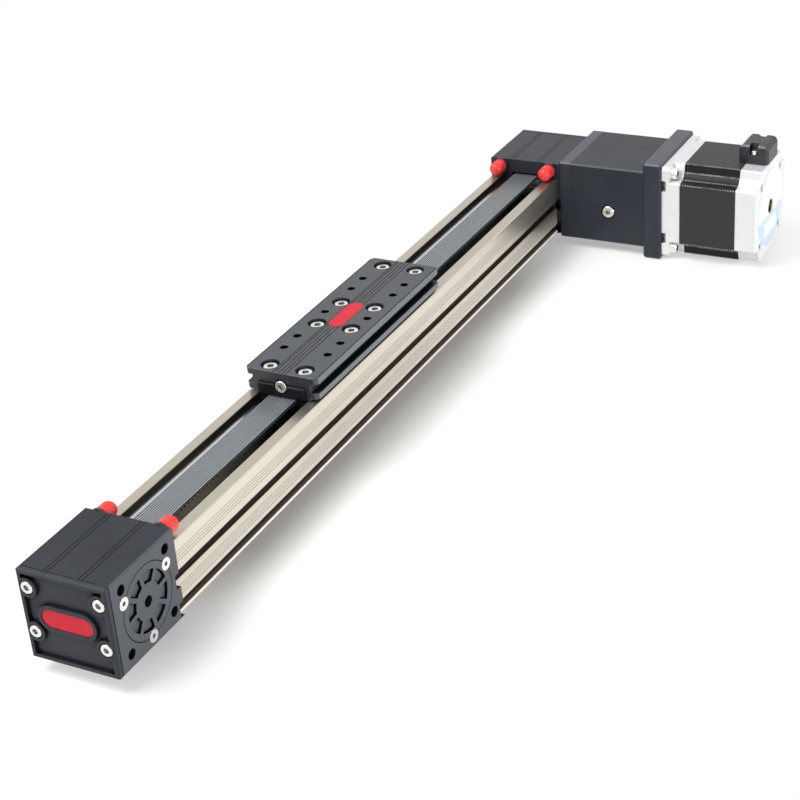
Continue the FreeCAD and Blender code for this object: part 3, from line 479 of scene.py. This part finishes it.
plateFinish = {
    "colour": linear(62, 66, 71),
    "roughness": 0.42,
    "roughnessSwing": 0.04,
    "specular": 0.5,
    "creviceSpecular": 0.03,
    "reliefDepth": 0.005 * mm,
    "edgeRadius": 0.35 * mm,
    "lineStretch": (20.0, 1500.0, 1500.0),
    "dustSize": 30 * mm,
    "dustCover": 0.4,
    "creviceReach": 7 * mm,
    "creviceOpen": 0.72,
    "creviceClosed": 0.42,
    "bands": (0.10, linear(84, 87, 91)),
    "dust": (0.08, linear(104, 107, 110)),
    "litLips": (0.6, linear(122, 127, 134)),
    "shadedEnds": (0.75, linear(22, 26, 32)),
    "wear": (0.6, linear(150, 153, 158)),
    "shadedGrooves": (0.8, linear(4, 6, 9)),
    # painted shade in crevices
    "creviceShade": (0.95, linear(4, 6, 9)),
    "topStart": 48 * mm,
    "grooveOffsets": (-19.35, -3.0, -0.95, 1.0, 3.1, 4.4, 19.35),
    "grooveReach": 0.24 * mm,
    "lipStart": 19.7 * mm,
    "endFacing": 0.9,
}


def plateAnodised():
    look = plateFinish
    made = Finish("plateAnodised", look)
    tree = made.tree
    edges = made.effect("softEdges")
    lines = made.effect("drawnLines")
    dust = made.effect("settledDust")
    crevices = made.effect("crevices")
    place = placeParts(tree)
    # painted shade in the fine grooves along the plate's top
    shadedGrooves = maths(tree, "MULTIPLY", maths(tree, "GREATER_THAN", place["Z"], look["topStart"]),
                    nearAny(tree, place["Y"], [offset * mm for offset in look["grooveOffsets"]],
                            look["grooveReach"]))
    # painted light: the plate's long side faces are painted paler
    litLips = maths(tree, "GREATER_THAN", maths(tree, "ABSOLUTE", place["Y"]), look["lipStart"])
    # painted shade: the plate's end faces are painted darker
    shadedEnds = maths(tree, "GREATER_THAN", maths(tree, "ABSOLUTE", facingParts(tree)["X"]), look["endFacing"])
    made.tint((lines["Bands"], "bands"), (dust["Mask"], "dust"), (litLips, "litLips"), (shadedEnds, "shadedEnds"),
              (edges["Edge"], "wear"), (shadedGrooves, "shadedGrooves"), (crevices["Deep"], "creviceShade"))
    made.dullCrevices(crevices["Deep"])
    made.vary(lines["Lines"])
    made.relief(lines["Lines"], edges["Normal"])
    return made.material


steelFinish = {
    "colour": linear(214, 216, 220),
    "roughness": 0.22,
    "roughnessSwing": 0.07,
    "metallic": 1.0,
    "reliefDepth": 0.006 * mm,
    "lineStretch": (900.0, 900.0, 3500.0),
    "bands": (0.2, linear(170, 173, 178)),
}


def groundSteel():
    made = Finish("groundSteel", steelFinish)
    lines = made.effect("drawnLines")
    made.tint((lines["Bands"], "bands"))
    made.vary(lines["Lines"])
    made.relief(lines["Lines"])
    return made.material


screwFinish = {
    "colour": linear(240, 239, 235),
    "roughness": 0.26,
    "roughnessSwing": 0.05,
    "metallic": 1.0,
    "reliefDepth": 0.004 * mm,
    "grainSize": 0.8 * mm,
    "grainCoarse": 0.5,
    "edgeRadius": 0.2 * mm,
    "dustSize": 5 * mm,
    "dustCover": 0.4,
    "creviceReach": 2.5 * mm,
    "creviceOpen": 0.7,
    "creviceClosed": 0.35,
    "grime": (0.12, linear(140, 134, 122)),
    # painted shade in crevices
    "creviceShade": (0.85, linear(84, 78, 70)),
}


def platedScrew():
    made = Finish("platedScrew", screwFinish)
    grain = made.effect("fineGrain")
    edges = made.effect("softEdges")
    dust = made.effect("settledDust")
    crevices = made.effect("crevices")
    made.tint((dust["Mask"], "grime"), (crevices["Deep"], "creviceShade"))
    made.vary(grain["Grain"])
    made.relief(grain["Grain"], edges["Normal"])
    return made.material


beltFinish = {
    "colour": linear(40, 46, 52),
    "roughness": 0.32,
    "wovenRoughness": (0.38, 0.28),
    "specular": 1.0,
    "reliefDepth": 0.02 * mm,
    "dustSize": 12 * mm,
    "dustCover": 0.5,
    "threads": (0.3, linear(100, 108, 114)),
    "ridges": (0.85, linear(196, 203, 206)),
    "wear": (0.10, linear(150, 155, 158)),
    "weavePitch": 1.2 * mm,
    "ridgePitch": 1.25 * mm,
    "ridgeSpan": (-0.6, -0.97),
    "wornThreads": (0.5, 1.0),
}


def wovenBelt():
    # rubber with a woven back: two sets of slanting threads crossing, between lengthwise ridges painted pale
    # as a highlight along each crest
    look = beltFinish
    made = Finish("wovenBelt", look)
    tree = made.tree
    place = placeParts(tree)
    turns = 2 * math.pi / look["weavePitch"]
    threads = []
    for slant in (1.0, -1.0):
        slanted = maths(tree, "MULTIPLY", place["Y"], slant * turns)
        phase = maths(tree, "ADD", maths(tree, "MULTIPLY", place["X"], turns), slanted)
        threads.append(maths(tree, "SINE", phase))
    weave = spread(tree, maths(tree, "MULTIPLY", threads[0], threads[1]), -1.0, 1.0)
    # painted highlight along the crest of each rib
    across = maths(tree, "MULTIPLY", place["Y"], 2 * math.pi / look["ridgePitch"])
    ridges = spread(tree, maths(tree, "COSINE", across), *look["ridgeSpan"])
    wear = made.effect("settledDust")
    raised = maths(tree, "MULTIPLY", weave, spread(tree, wear["Mask"], 0.0, 1.0, *look["wornThreads"]))
    made.tint((raised, "threads"), (ridges, "ridges"), (wear["Mask"], "wear"))
    made.feed("Roughness", spread(tree, weave, 0.0, 1.0, *look["wovenRoughness"]))
    made.relief(weave)
    return made.material


rubberFinish = {
    "colour": linear(236, 48, 46),
    "roughness": 0.42,
    "roughnessSwing": 0.06,
    "reliefDepth": 0.03 * mm,
    "grainSize": 0.5 * mm,
    "grainCoarse": 0.6,
    "dustSize": 6 * mm,
    "dustCover": 0.4,
    "dust": (0.16, linear(250, 150, 140)),
    "glow": 0.08,
    "glowReach": (2.0 * mm, 0.6 * mm, 0.5 * mm),
}


def redRubber():
    made = Finish("redRubber", rubberFinish)
    grain = made.effect("fineGrain")
    dust = made.effect("settledDust")
    made.shader.inputs["Subsurface Weight"].default_value = rubberFinish["glow"]
    made.shader.inputs["Subsurface Radius"].default_value = rubberFinish["glowReach"]
    made.tint((dust["Mask"], "dust"))
    made.vary(grain["Grain"])
    made.relief(grain["Grain"])
    return made.material


badgeFinish = {
    "colour": linear(208, 26, 48),
    "roughness": 0.4,
    "roughnessSwing": 0.05,
    "specular": 0.25,
    "reliefDepth": 0.01 * mm,
    "grainSize": 0.5 * mm,
    "grainCoarse": 0.3,
    "edgeRadius": 0.2 * mm,
    "dustSize": 8 * mm,
    "dustCover": 0.42,
    "dust": (0.08, linear(226, 92, 98)),
    "wear": (0.3, linear(236, 130, 134)),
}


def redBadge():
    made = Finish("redBadge", badgeFinish)
    grain = made.effect("fineGrain")
    edges = made.effect("softEdges")
    dust = made.effect("settledDust")
    made.tint((dust["Mask"], "dust"), (edges["Edge"], "wear"))
    made.vary(grain["Grain"])
    made.relief(grain["Grain"], edges["Normal"])
    return made.material


castFinish = {
    "colour": linear(232, 233, 234),
    "roughness": 0.42,
    "roughnessSwing": 0.08,
    "metallic": 0.3,
    "reliefDepth": 0.05 * mm,
    "grainSize": 0.7 * mm,
    "grainCoarse": 0.5,
    "edgeRadius": 0.5 * mm,
    "dustSize": 10 * mm,
    "dustCover": 0.42,
    "creviceReach": 4 * mm,
    "creviceOpen": 0.75,
    "creviceClosed": 0.25,
    "dust": (0.2, linear(214, 214, 214)),
    "pits": (0.3, linear(196, 196, 198)),
    "wear": (0.5, linear(246, 246, 246)),
    # painted shade in crevices
    "creviceShade": (0.45, linear(92, 90, 86)),
    "pitSpan": (0.46, 0.34),
}


def castSilver():
    made = Finish("castSilver", castFinish)
    edges = made.effect("softEdges")
    grain = made.effect("fineGrain")
    dust = made.effect("settledDust")
    crevices = made.effect("crevices")
    pits = spread(made.tree, grain["Grain"], *castFinish["pitSpan"])
    made.tint((dust["Mask"], "dust"), (pits, "pits"), (edges["Edge"], "wear"), (crevices["Deep"], "creviceShade"))
    made.vary(grain["Grain"])
    made.relief(grain["Grain"], edges["Normal"])
    return made.material


stackFinish = {
    "colour": linear(50, 51, 52),
    "roughness": 0.44,
    "roughnessSwing": 0.08,
    "specular": 0.22,
    "reliefDepth": 0.012 * mm,
    "grainSize": 0.8 * mm,
    "grainCoarse": 0.3,
    "edgeRadius": 0.4 * mm,
    "creviceReach": 3 * mm,
    "creviceOpen": 0.7,
    "creviceClosed": 0.35,
    "sheets": (0.10, linear(60, 60, 59)),
    "corners": (0.8, linear(14, 14, 15)),
    # painted shade in crevices
    "creviceShade": (0.6, linear(10, 10, 10)),
    "speckHighlights": (0.75, linear(206, 204, 198)),
    "sheetThickness": 0.5 * mm,
    "sheetShare": 0.3,
    "cornerStart": 18.2 * mm,
    "ridges": ((28.5, 18.8), (23.2, 19.8), (19.8, 23.2), (18.8, 28.5)),
    "ridgeReach": 0.58 * mm,
    "speckPitch": 1.6 * mm,
    "speckSpan": (-0.3, 0.3),
    "speckGrain": {"grainSize": 2.2 * mm, "grainCoarse": 0.3},
    # grain from 0.40 to 0.56 leaves 0.3 to all of a speck
    "brokenSpan": (0.40, 0.56, 0.3, 1.0),
}


def motorBlack():
    # lacquered sheet stack: thin sheets across the motor's axis, and painted highlights as bright specks
    # along its cut edges
    look = stackFinish
    made = Finish("motorBlack", look)
    tree = made.tree
    edges = made.effect("softEdges")
    grain = made.effect("fineGrain")
    crevices = made.effect("crevices")
    along, depthward, height = placeParts(tree)
    sheets = maths(tree, "SINE", maths(tree, "MULTIPLY", depthward, 2 * math.pi / look["sheetThickness"]))
    middle = boxOf("motor_stator_stack")[2]
    sideways = distanceFrom(tree, along, middle.x)
    upward = distanceFrom(tree, height, middle.z)
    corners = maths(tree, "MULTIPLY", maths(tree, "GREATER_THAN", sideways, look["cornerStart"]),
                    maths(tree, "GREATER_THAN", upward, look["cornerStart"]))
    ridges = 0.0
    for sidePlace, upPlace in look["ridges"]:
        away = maths(tree, "ADD", distanceFrom(tree, sideways, sidePlace * mm),
                     distanceFrom(tree, upward, upPlace * mm))
        ridges = maths(tree, "MAXIMUM", maths(tree, "LESS_THAN", away, look["ridgeReach"]), ridges)
    dashes = maths(tree, "SINE", maths(tree, "MULTIPLY", depthward, 2 * math.pi / look["speckPitch"]))
    broken = spread(tree, made.effect("fineGrain", look["speckGrain"])["Grain"], *look["brokenSpan"])
    speckHighlights = maths(tree, "MULTIPLY", maths(tree, "MULTIPLY", ridges, broken),
                   spread(tree, dashes, *look["speckSpan"]))
    made.tint((spread(tree, sheets, -1.0, 1.0), "sheets"), (corners, "corners"), (crevices["Deep"], "creviceShade"),
              (speckHighlights, "speckHighlights"))
    made.vary(grain["Grain"])
    mixed = maths(tree, "ADD", maths(tree, "MULTIPLY", sheets, look["sheetShare"]), grain["Grain"])
    made.relief(mixed, edges["Normal"])
    return made.material


plasticFinish = {
    "colour": linear(18, 22, 32),
    "roughness": 0.38,
    "roughnessSwing": 0.07,
    "specular": 0.6,
    "reliefDepth": 0.02 * mm,
    "grainSize": 0.5 * mm,
    "grainCoarse": 0.5,
    "edgeRadius": 0.3 * mm,
    "dustSize": 10 * mm,
    "dustCover": 0.4,
    "creviceReach": 4 * mm,
    "dust": (0.08, linear(84, 87, 92)),
    "wear": (0.35, linear(96, 102, 112)),
    # painted shade in crevices
    "creviceShade": (0.85, linear(6, 6, 8)),
}


def blackPlastic():
    made = Finish("blackPlastic", plasticFinish)
    edges = made.effect("softEdges")
    grain = made.effect("fineGrain")
    dust = made.effect("settledDust")
    crevices = made.effect("crevices")
    made.tint((dust["Mask"], "dust"), (edges["Edge"], "wear"), (crevices["Deep"], "creviceShade"))
    made.vary(grain["Grain"])
    made.relief(grain["Grain"], edges["Normal"])
    return made.material


labelFinish = {
    "colour": linear(244, 245, 247),
    "roughness": 0.3,
    "roughnessSwing": 0.05,
    "coat": 0.4,
    "coatRoughness": 0.08,
    "reliefDepth": 0.01 * mm,
    "grainSize": 1.2 * mm,
    "grainCoarse": 0.4,
    "dustSize": 12 * mm,
    "dustCover": 0.4,
    "field": (1.0, linear(190, 216, 240)),
    "panel": (1.0, linear(244, 245, 247)),
    "dust": (0.08, linear(216, 218, 220)),
    "fieldTop": -4 * mm,
    "panelSides": (-11.5 * mm, 11.5 * mm),
    "panelHeights": (-16.5 * mm, -7.5 * mm),
}


def labelFilm():
    # white film; its lower part is pale blue with a bare white panel
    look = labelFinish
    made = Finish("labelFilm", look)
    tree = made.tree
    middle = boxOf("motor_label")[2]
    place = placeParts(tree)
    across = maths(tree, "SUBTRACT", place["X"], middle.x)
    upward = maths(tree, "SUBTRACT", place["Z"], middle.z)
    field = maths(tree, "LESS_THAN", upward, look["fieldTop"])
    panel = maths(tree, "MULTIPLY", between(tree, across, *look["panelSides"]),
                  between(tree, upward, *look["panelHeights"]))
    grain = made.effect("fineGrain")
    dust = made.effect("settledDust")
    made.tint((field, "field"), (panel, "panel"), (dust["Mask"], "dust"))
    made.vary(grain["Grain"])
    made.relief(grain["Grain"])
    return made.material


metalFinish = {
    "roughnessSwing": 0.08,
    "metallic": 1.0,
    "grainSize": 0.6 * mm,
    "grainCoarse": 0.4,
    "edgeRadius": 0.2 * mm,
    "dustSize": 8 * mm,
    "dustCover": 0.4,
    "creviceReach": 6 * mm,
    "creviceOpen": 0.55,
    "creviceClosed": 0.4,
    "dustShare": 0.3,
    "dustDarkness": 0.6,
    "wear": (0.4, linear(240, 240, 240)),
    # painted shade in crevices
    "creviceShade": (0.95, linear(16, 14, 12)),
}
plainMetals = {
    "windingWire": {"colour": linear(206, 156, 96), "roughness": 0.3, "reliefDepth": 0.02 * mm},
    "pulleyAlloy": {"colour": linear(204, 206, 208), "roughness": 0.32, "reliefDepth": 0.01 * mm},
}


def plainMetal(name):
    look = {**metalFinish, **plainMetals[name]}
    darker = tuple(level * look["dustDarkness"] for level in look["colour"][:3]) + (1.0,)
    look["dust"] = (look["dustShare"], darker)
    made = Finish(name, look)
    grain = made.effect("fineGrain")
    edges = made.effect("softEdges")
    dust = made.effect("settledDust")
    crevices = made.effect("crevices")
    made.tint((dust["Mask"], "dust"), (edges["Edge"], "wear"), (crevices["Deep"], "creviceShade"))
    made.vary(grain["Grain"])
    made.relief(grain["Grain"], edges["Normal"])
    return made.material


ringFinish = {
    "colour": linear(222, 204, 150),
    "roughness": 0.3,
    "roughnessSwing": 0.06,
    "metallic": 1.0,
    "reliefDepth": 0.008 * mm,
    "grainSize": 0.5 * mm,
    "grainCoarse": 0.4,
    "innerShade": (1.0, linear(10, 9, 8)),
    "brightDepth": 0.7 * mm,
    "fadeDepth": 0.3 * mm,
}


def brassRing():
    # bright at its outer rim, painted shade further in
    look = ringFinish
    made = Finish("brassRing", look)
    tree = made.tree
    start = boxOf("motor_rear_ring")[0].y + look["brightDepth"]
    innerShade = spread(tree, placeParts(tree)["Y"], start, start + look["fadeDepth"])
    grain = made.effect("fineGrain")
    made.tint((innerShade, "innerShade"))
    made.vary(grain["Grain"])
    made.relief(grain["Grain"])
    return made.material


polymerFinish = {
    "roughnessSwing": 0.07,
    "grainSize": 0.5 * mm,
    "grainCoarse": 0.5,
    "edgeRadius": 0.3 * mm,
    "dustSize": 8 * mm,
    "dustCover": 0.4,
    "dustShare": 0.15,
    "wearShare": 0.3,
    "paleGain": 1.6,
    "paleLift": 0.02,
}
plainPolymers = {
    "rollerPolymer": {"colour": linear(60, 61, 63), "roughness": 0.4, "reliefDepth": 0.02 * mm},
    "spiderElastomer": {"colour": linear(190, 44, 34), "roughness": 0.45, "reliefDepth": 0.03 * mm},
}


def plainPolymer(name):
    look = {**polymerFinish, **plainPolymers[name]}
    paler = tuple(min(1.0, level * look["paleGain"] + look["paleLift"]) for level in look["colour"][:3])
    look["dust"] = (look["dustShare"], (*paler, 1.0))
    look["wear"] = (look["wearShare"], (*paler, 1.0))
    made = Finish(name, look)
    grain = made.effect("fineGrain")
    edges = made.effect("softEdges")
    dust = made.effect("settledDust")
    made.tint((dust["Mask"], "dust"), (edges["Edge"], "wear"))
    made.vary(grain["Grain"])
    made.relief(grain["Grain"], edges["Normal"])
    return made.material


# which finish each material slot of the frame gets
finishes = {
    "rail_anodised": railAnodised(),
    "black_anodised": blackAnodised("blackBlock"),
    "plate_anodised": plateAnodised(),
    "steel_ground": groundSteel(),
    "screw_steel": platedScrew(),
    "belt_rubber": wovenBelt(),
    "red_rubber": redRubber(),
    "red_badge": redBadge(),
    "motor_cast": castSilver(),
    "motor_black": motorBlack(),
    "black_plastic": blackPlastic(),
    "label_film": labelFilm(),
    "copper_wire": plainMetal("windingWire"),
    "pulley_alloy": plainMetal("pulleyAlloy"),
    "roller_polymer": plainPolymer("rollerPolymer"),
    "spider_elastomer": plainPolymer("spiderElastomer"),
}
# pieces whose finish differs a little from the rest of their slot; the carriage body and belt clamps are
# painted darker as shade
shadeOf = {
    "coupling_housing": "blackHousing",
    "drive_block": "blackHousing",
    "idler_end_cover": "blackCover",
    "drive_end_cover": "blackCover",
    "adapter_plate": "blackFlange",
    "motor_flange": "blackFlange",
    "carriage_body": "blackCarriage",
    "belt_clamps": "blackCarriage",
    "motor_rear_ring": "brassRing",
}
shades = {name: blackAnodised(name) for name in sorted(blackShades) if name != "blackBlock"}
shades["brassRing"] = brassRing()
slotOf = {part["node"]: part["material_slot"] for part in frame["record"]["subparts"]}
for name, node in nodes.items():
    node.data.materials.clear()
    node.data.materials.append(shades[shadeOf[name]] if name in shadeOf else finishes[slotOf[name]])
print("finishes on nodes:", len(finishes), len(nodes))


def addPiece(name, mesh, body, slot):
    piece = bpy.data.objects.new(name, mesh)
    bpy.context.scene.collection.objects.link(piece)
    mesh.materials.append(finishes[slot])
    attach(piece, body)
    return piece


# the ribbed belt with teeth all the way round
beltShape = {
    "pitch": 3.0 * mm,
    "ribs": 12,
    "ribHeight": 0.13 * mm,
    # across one rib: share of its width, share of its height
    "ribOutline": ((0.06, 0.0), (0.2, 0.8), (0.5, 1.0), (0.8, 0.8), (0.94, 0.0)),
    "band": 1.05 * mm,
    "pitchLift": 0.1 * mm,
    "toothHeight": 1.22 * mm,
    "toothRoot": 1.9 * mm,
    "toothTip": 1.0 * mm,
    "toothInset": 0.05 * mm,
    "runSteps": 24,
    "arcSteps": 28,
}


def beltPath():
    # both ends of the straight runs, the middle height, the radius of the back, and both side faces
    low, high, middle = boxOf("timing_belt")
    radius = (high.z - low.z) / 2
    return low.x + radius, high.x - radius, middle.z, radius, (low.y, high.y)


def loopPoint(distance, startX, endX, height, radius):
    # the place and outward direction at a distance along the loop, measured at the radius given
    straight = endX - startX
    turn = math.pi * radius
    distance = distance % (2 * (straight + turn))
    if distance < straight:
        return Vector((startX + distance, 0, height + radius)), Vector((0, 0, 1))
    distance -= straight
    if distance < turn:
        angle = math.pi / 2 - distance / radius
        out = Vector((math.cos(angle), 0, math.sin(angle)))
        return Vector((endX, 0, height)) + out * radius, out
    distance -= turn
    if distance < straight:
        return Vector((endX - distance, 0, height - radius)), Vector((0, 0, -1))
    distance -= straight
    angle = -math.pi / 2 - distance / radius
    out = Vector((math.cos(angle), 0, math.sin(angle)))
    return Vector((startX, 0, height)) + out * radius, out


def ribbedSection(width):
    # across the belt: (sideways place, height over the belt's back)
    points = []
    step = width / beltShape["ribs"]
    for rib in range(beltShape["ribs"]):
        start = -width / 2 + rib * step
        for share, lift in beltShape["ribOutline"]:
            points.append((start + share * step, lift * beltShape["ribHeight"] - beltShape["ribHeight"]))
    points.append((width / 2, -beltShape["band"]))
    points.append((-width / 2, -beltShape["band"]))
    return points


def addBand(mesh, startX, endX, height, radius, width):
    # the ribbed section swept once round both pulleys
    section = ribbedSection(width)
    straight = endX - startX
    turn = math.pi * radius
    stations = []
    for start, length, count in ((0, straight, beltShape["runSteps"]),
                                 (straight, turn, beltShape["arcSteps"]),
                                 (straight + turn, straight, beltShape["runSteps"]),
                                 (2 * straight + turn, turn, beltShape["arcSteps"])):
        stations += [start + length * k / count for k in range(count)]
    rings = []
    for distance in stations:
        place, out = loopPoint(distance, startX, endX, height, radius)
        rings.append([mesh.verts.new(place + out * lift + Vector((0, across, 0)))
                      for across, lift in section])
    for first, second in zip(rings, rings[1:] + rings[:1]):
        for k in range(len(section)):
            after = (k + 1) % len(section)
            mesh.faces.new((first[k], first[after], second[after], second[k]))


def addTeeth(mesh, startX, endX, height, radius, sideLow, sideHigh):
    # one trapezium bar per tooth on the inner side; the pitch is fitted to a whole number of teeth
    pitchRadius = radius - beltShape["band"] + beltShape["pitchLift"]
    loopLength = 2 * (endX - startX) + 2 * math.pi * pitchRadius
    toothCount = round(loopLength / beltShape["pitch"])
    pitch = loopLength / toothCount
    root, tip = beltShape["toothRoot"] / 2, beltShape["toothTip"] / 2
    for k in range(toothCount):
        corners = []
        for along, depth in ((-root, 0.0), (-tip, 1.0), (tip, 1.0), (root, 0.0)):
            place, out = loopPoint(k * pitch + along, startX, endX, height, pitchRadius)
            corners.append(place - out * (depth * beltShape["toothHeight"]))
        sides = [[mesh.verts.new(corner + Vector((0, y, 0))) for corner in corners]
                 for y in (sideLow + beltShape["toothInset"], sideHigh - beltShape["toothInset"])]
        mesh.faces.new(sides[0])
        mesh.faces.new(sides[1][::-1])
        for a in range(4):
            b = (a + 1) % 4
            mesh.faces.new((sides[0][b], sides[0][a], sides[1][a], sides[1][b]))
    return toothCount


def makeBelt():
    startX, endX, height, radius, (sideLow, sideHigh) = beltPath()
    mesh = bmesh.new()
    addBand(mesh, startX, endX, height, radius, sideHigh - sideLow)
    toothCount = addTeeth(mesh, startX, endX, height, radius, sideLow, sideHigh)
    bmesh.ops.recalc_face_normals(mesh, faces=mesh.faces)
    data = bpy.data.meshes.new("belt_band")
    mesh.to_mesh(data)
    mesh.free()
    piece = addPiece("belt_band", data, "frame", "belt_rubber")
    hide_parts("timing_belt")
    return toothCount


print("belt teeth:", makeBelt())


# a white floor that takes the shadow and turns plain white further out
floorLook = {
    "gap": 0.4 * mm,
    "halfSize": 12.0,
    "colour": 0.80,
    "seenColour": 1.0,
    "fadeStart": 0.15,
    "fadeEnd": 0.34,
}


def makeFloor():
    half = floorLook["halfSize"]
    height = min(cadLow.z, 0.0) - floorLook["gap"]
    data = bpy.data.meshes.new("floor")
    corners = [(x * half, y * half, height) for x, y in ((-1, -1), (1, -1), (1, 1), (-1, 1))]
    data.from_pydata(corners, [], [(0, 1, 2, 3)])
    floor = bpy.data.objects.new("floor", data)
    bpy.context.scene.collection.objects.link(floor)
    material = bpy.data.materials.new("floorWhite")
    material.use_nodes = True
    tree = material.node_tree
    tree.nodes.clear()
    out = tree.nodes.new("ShaderNodeOutputMaterial")
    grey, seenGrey = floorLook["colour"], floorLook["seenColour"]
    diffuse = put(tree, "ShaderNodeBsdfDiffuse", {"Color": (grey, grey, grey, 1.0)})
    shown = put(tree, "ShaderNodeBsdfDiffuse", {"Color": (seenGrey, seenGrey, seenGrey, 1.0)})
    white = put(tree, "ShaderNodeEmission", {"Color": (1.0, 1.0, 1.0, 1.0), "Strength": 1.0})
    place = put(tree, "ShaderNodeTexCoord")
    reach = put(tree, "ShaderNodeVectorMath", {0: place.outputs["Object"]}, operation="LENGTH")
    far = spread(tree, reach.outputs["Value"], floorLook["fadeStart"], floorLook["fadeEnd"])
    lit = put(tree, "ShaderNodeMixShader", {0: far, 1: shown.outputs[0], 2: white.outputs[0]})
    final = put(tree, "ShaderNodeMixShader", {0: seenRay(tree), 1: diffuse.outputs[0],
                                              2: lit.outputs[0]})
    tree.links.new(final.outputs[0], out.inputs[0])
    data.materials.append(material)


makeFloor()

studio = {
    "worldLevel": 0.28,
    "lamps": {
        # name: (place, aim, size, power in watts)
        "topSoftbox": ((-0.69, 0.58, 1.54), (0.0, -0.02, 0.0), (0.95, 0.95), 33.0),
        "sideSoftbox": ((-0.12, -2.1, 0.17), (0.0, 0.0, 0.03), (2.2, 0.3), 33.0),
    },
}


def makeStudio():
    # the world is plain white where it is seen, and gives a low even light
    world = bpy.data.worlds.new("studioWorld")
    bpy.context.scene.world = world
    world.use_nodes = True
    tree = world.node_tree
    tree.nodes.clear()
    out = tree.nodes.new("ShaderNodeOutputWorld")
    level = spread(tree, seenRay(tree), 0.0, 1.0, studio["worldLevel"], 1.0)
    sky = put(tree, "ShaderNodeBackground", {"Color": (1.0, 1.0, 1.0, 1.0), "Strength": level})
    tree.links.new(sky.outputs[0], out.inputs[0])
    for name, (place, aim, size, power) in studio["lamps"].items():
        light = bpy.data.lights.new(name, "AREA")
        light.shape = "RECTANGLE"
        light.size, light.size_y = size
        light.energy = power
        lamp = bpy.data.objects.new(name, light)
        lamp.location = place
        lamp.rotation_mode = "QUATERNION"
        lamp.rotation_quaternion = (Vector(aim) - Vector(place)).to_track_quat("-Z", "Y")
        bpy.context.scene.collection.objects.link(lamp)


makeStudio()

cameraSet = {
    "place": (-0.71428, -0.41599, 0.44447),
    "aim": (-0.04152, -0.04145, 0.0200),
    "roll": -4.617,
    "lens": 80.10,
    "sensor": 36.0,
    "clip": (0.01, 60.0),
}


def makeCamera():
    data = bpy.data.cameras.new("productCamera")
    data.lens = cameraSet["lens"]
    data.sensor_width = cameraSet["sensor"]
    data.clip_start, data.clip_end = cameraSet["clip"]
    camera = bpy.data.objects.new("productCamera", data)
    bpy.context.scene.collection.objects.link(camera)
    look = (Vector(cameraSet["aim"]) - Vector(cameraSet["place"])).to_track_quat("-Z", "Y")
    turn = Matrix.Rotation(math.radians(cameraSet["roll"]), 4, "Z")
    camera.matrix_world = Matrix.Translation(cameraSet["place"]) @ look.to_matrix().to_4x4() @ turn
    bpy.context.scene.camera = camera


makeCamera()
bpy.context.scene.view_settings.view_transform = "Standard"
print("floor, lights and camera ready")
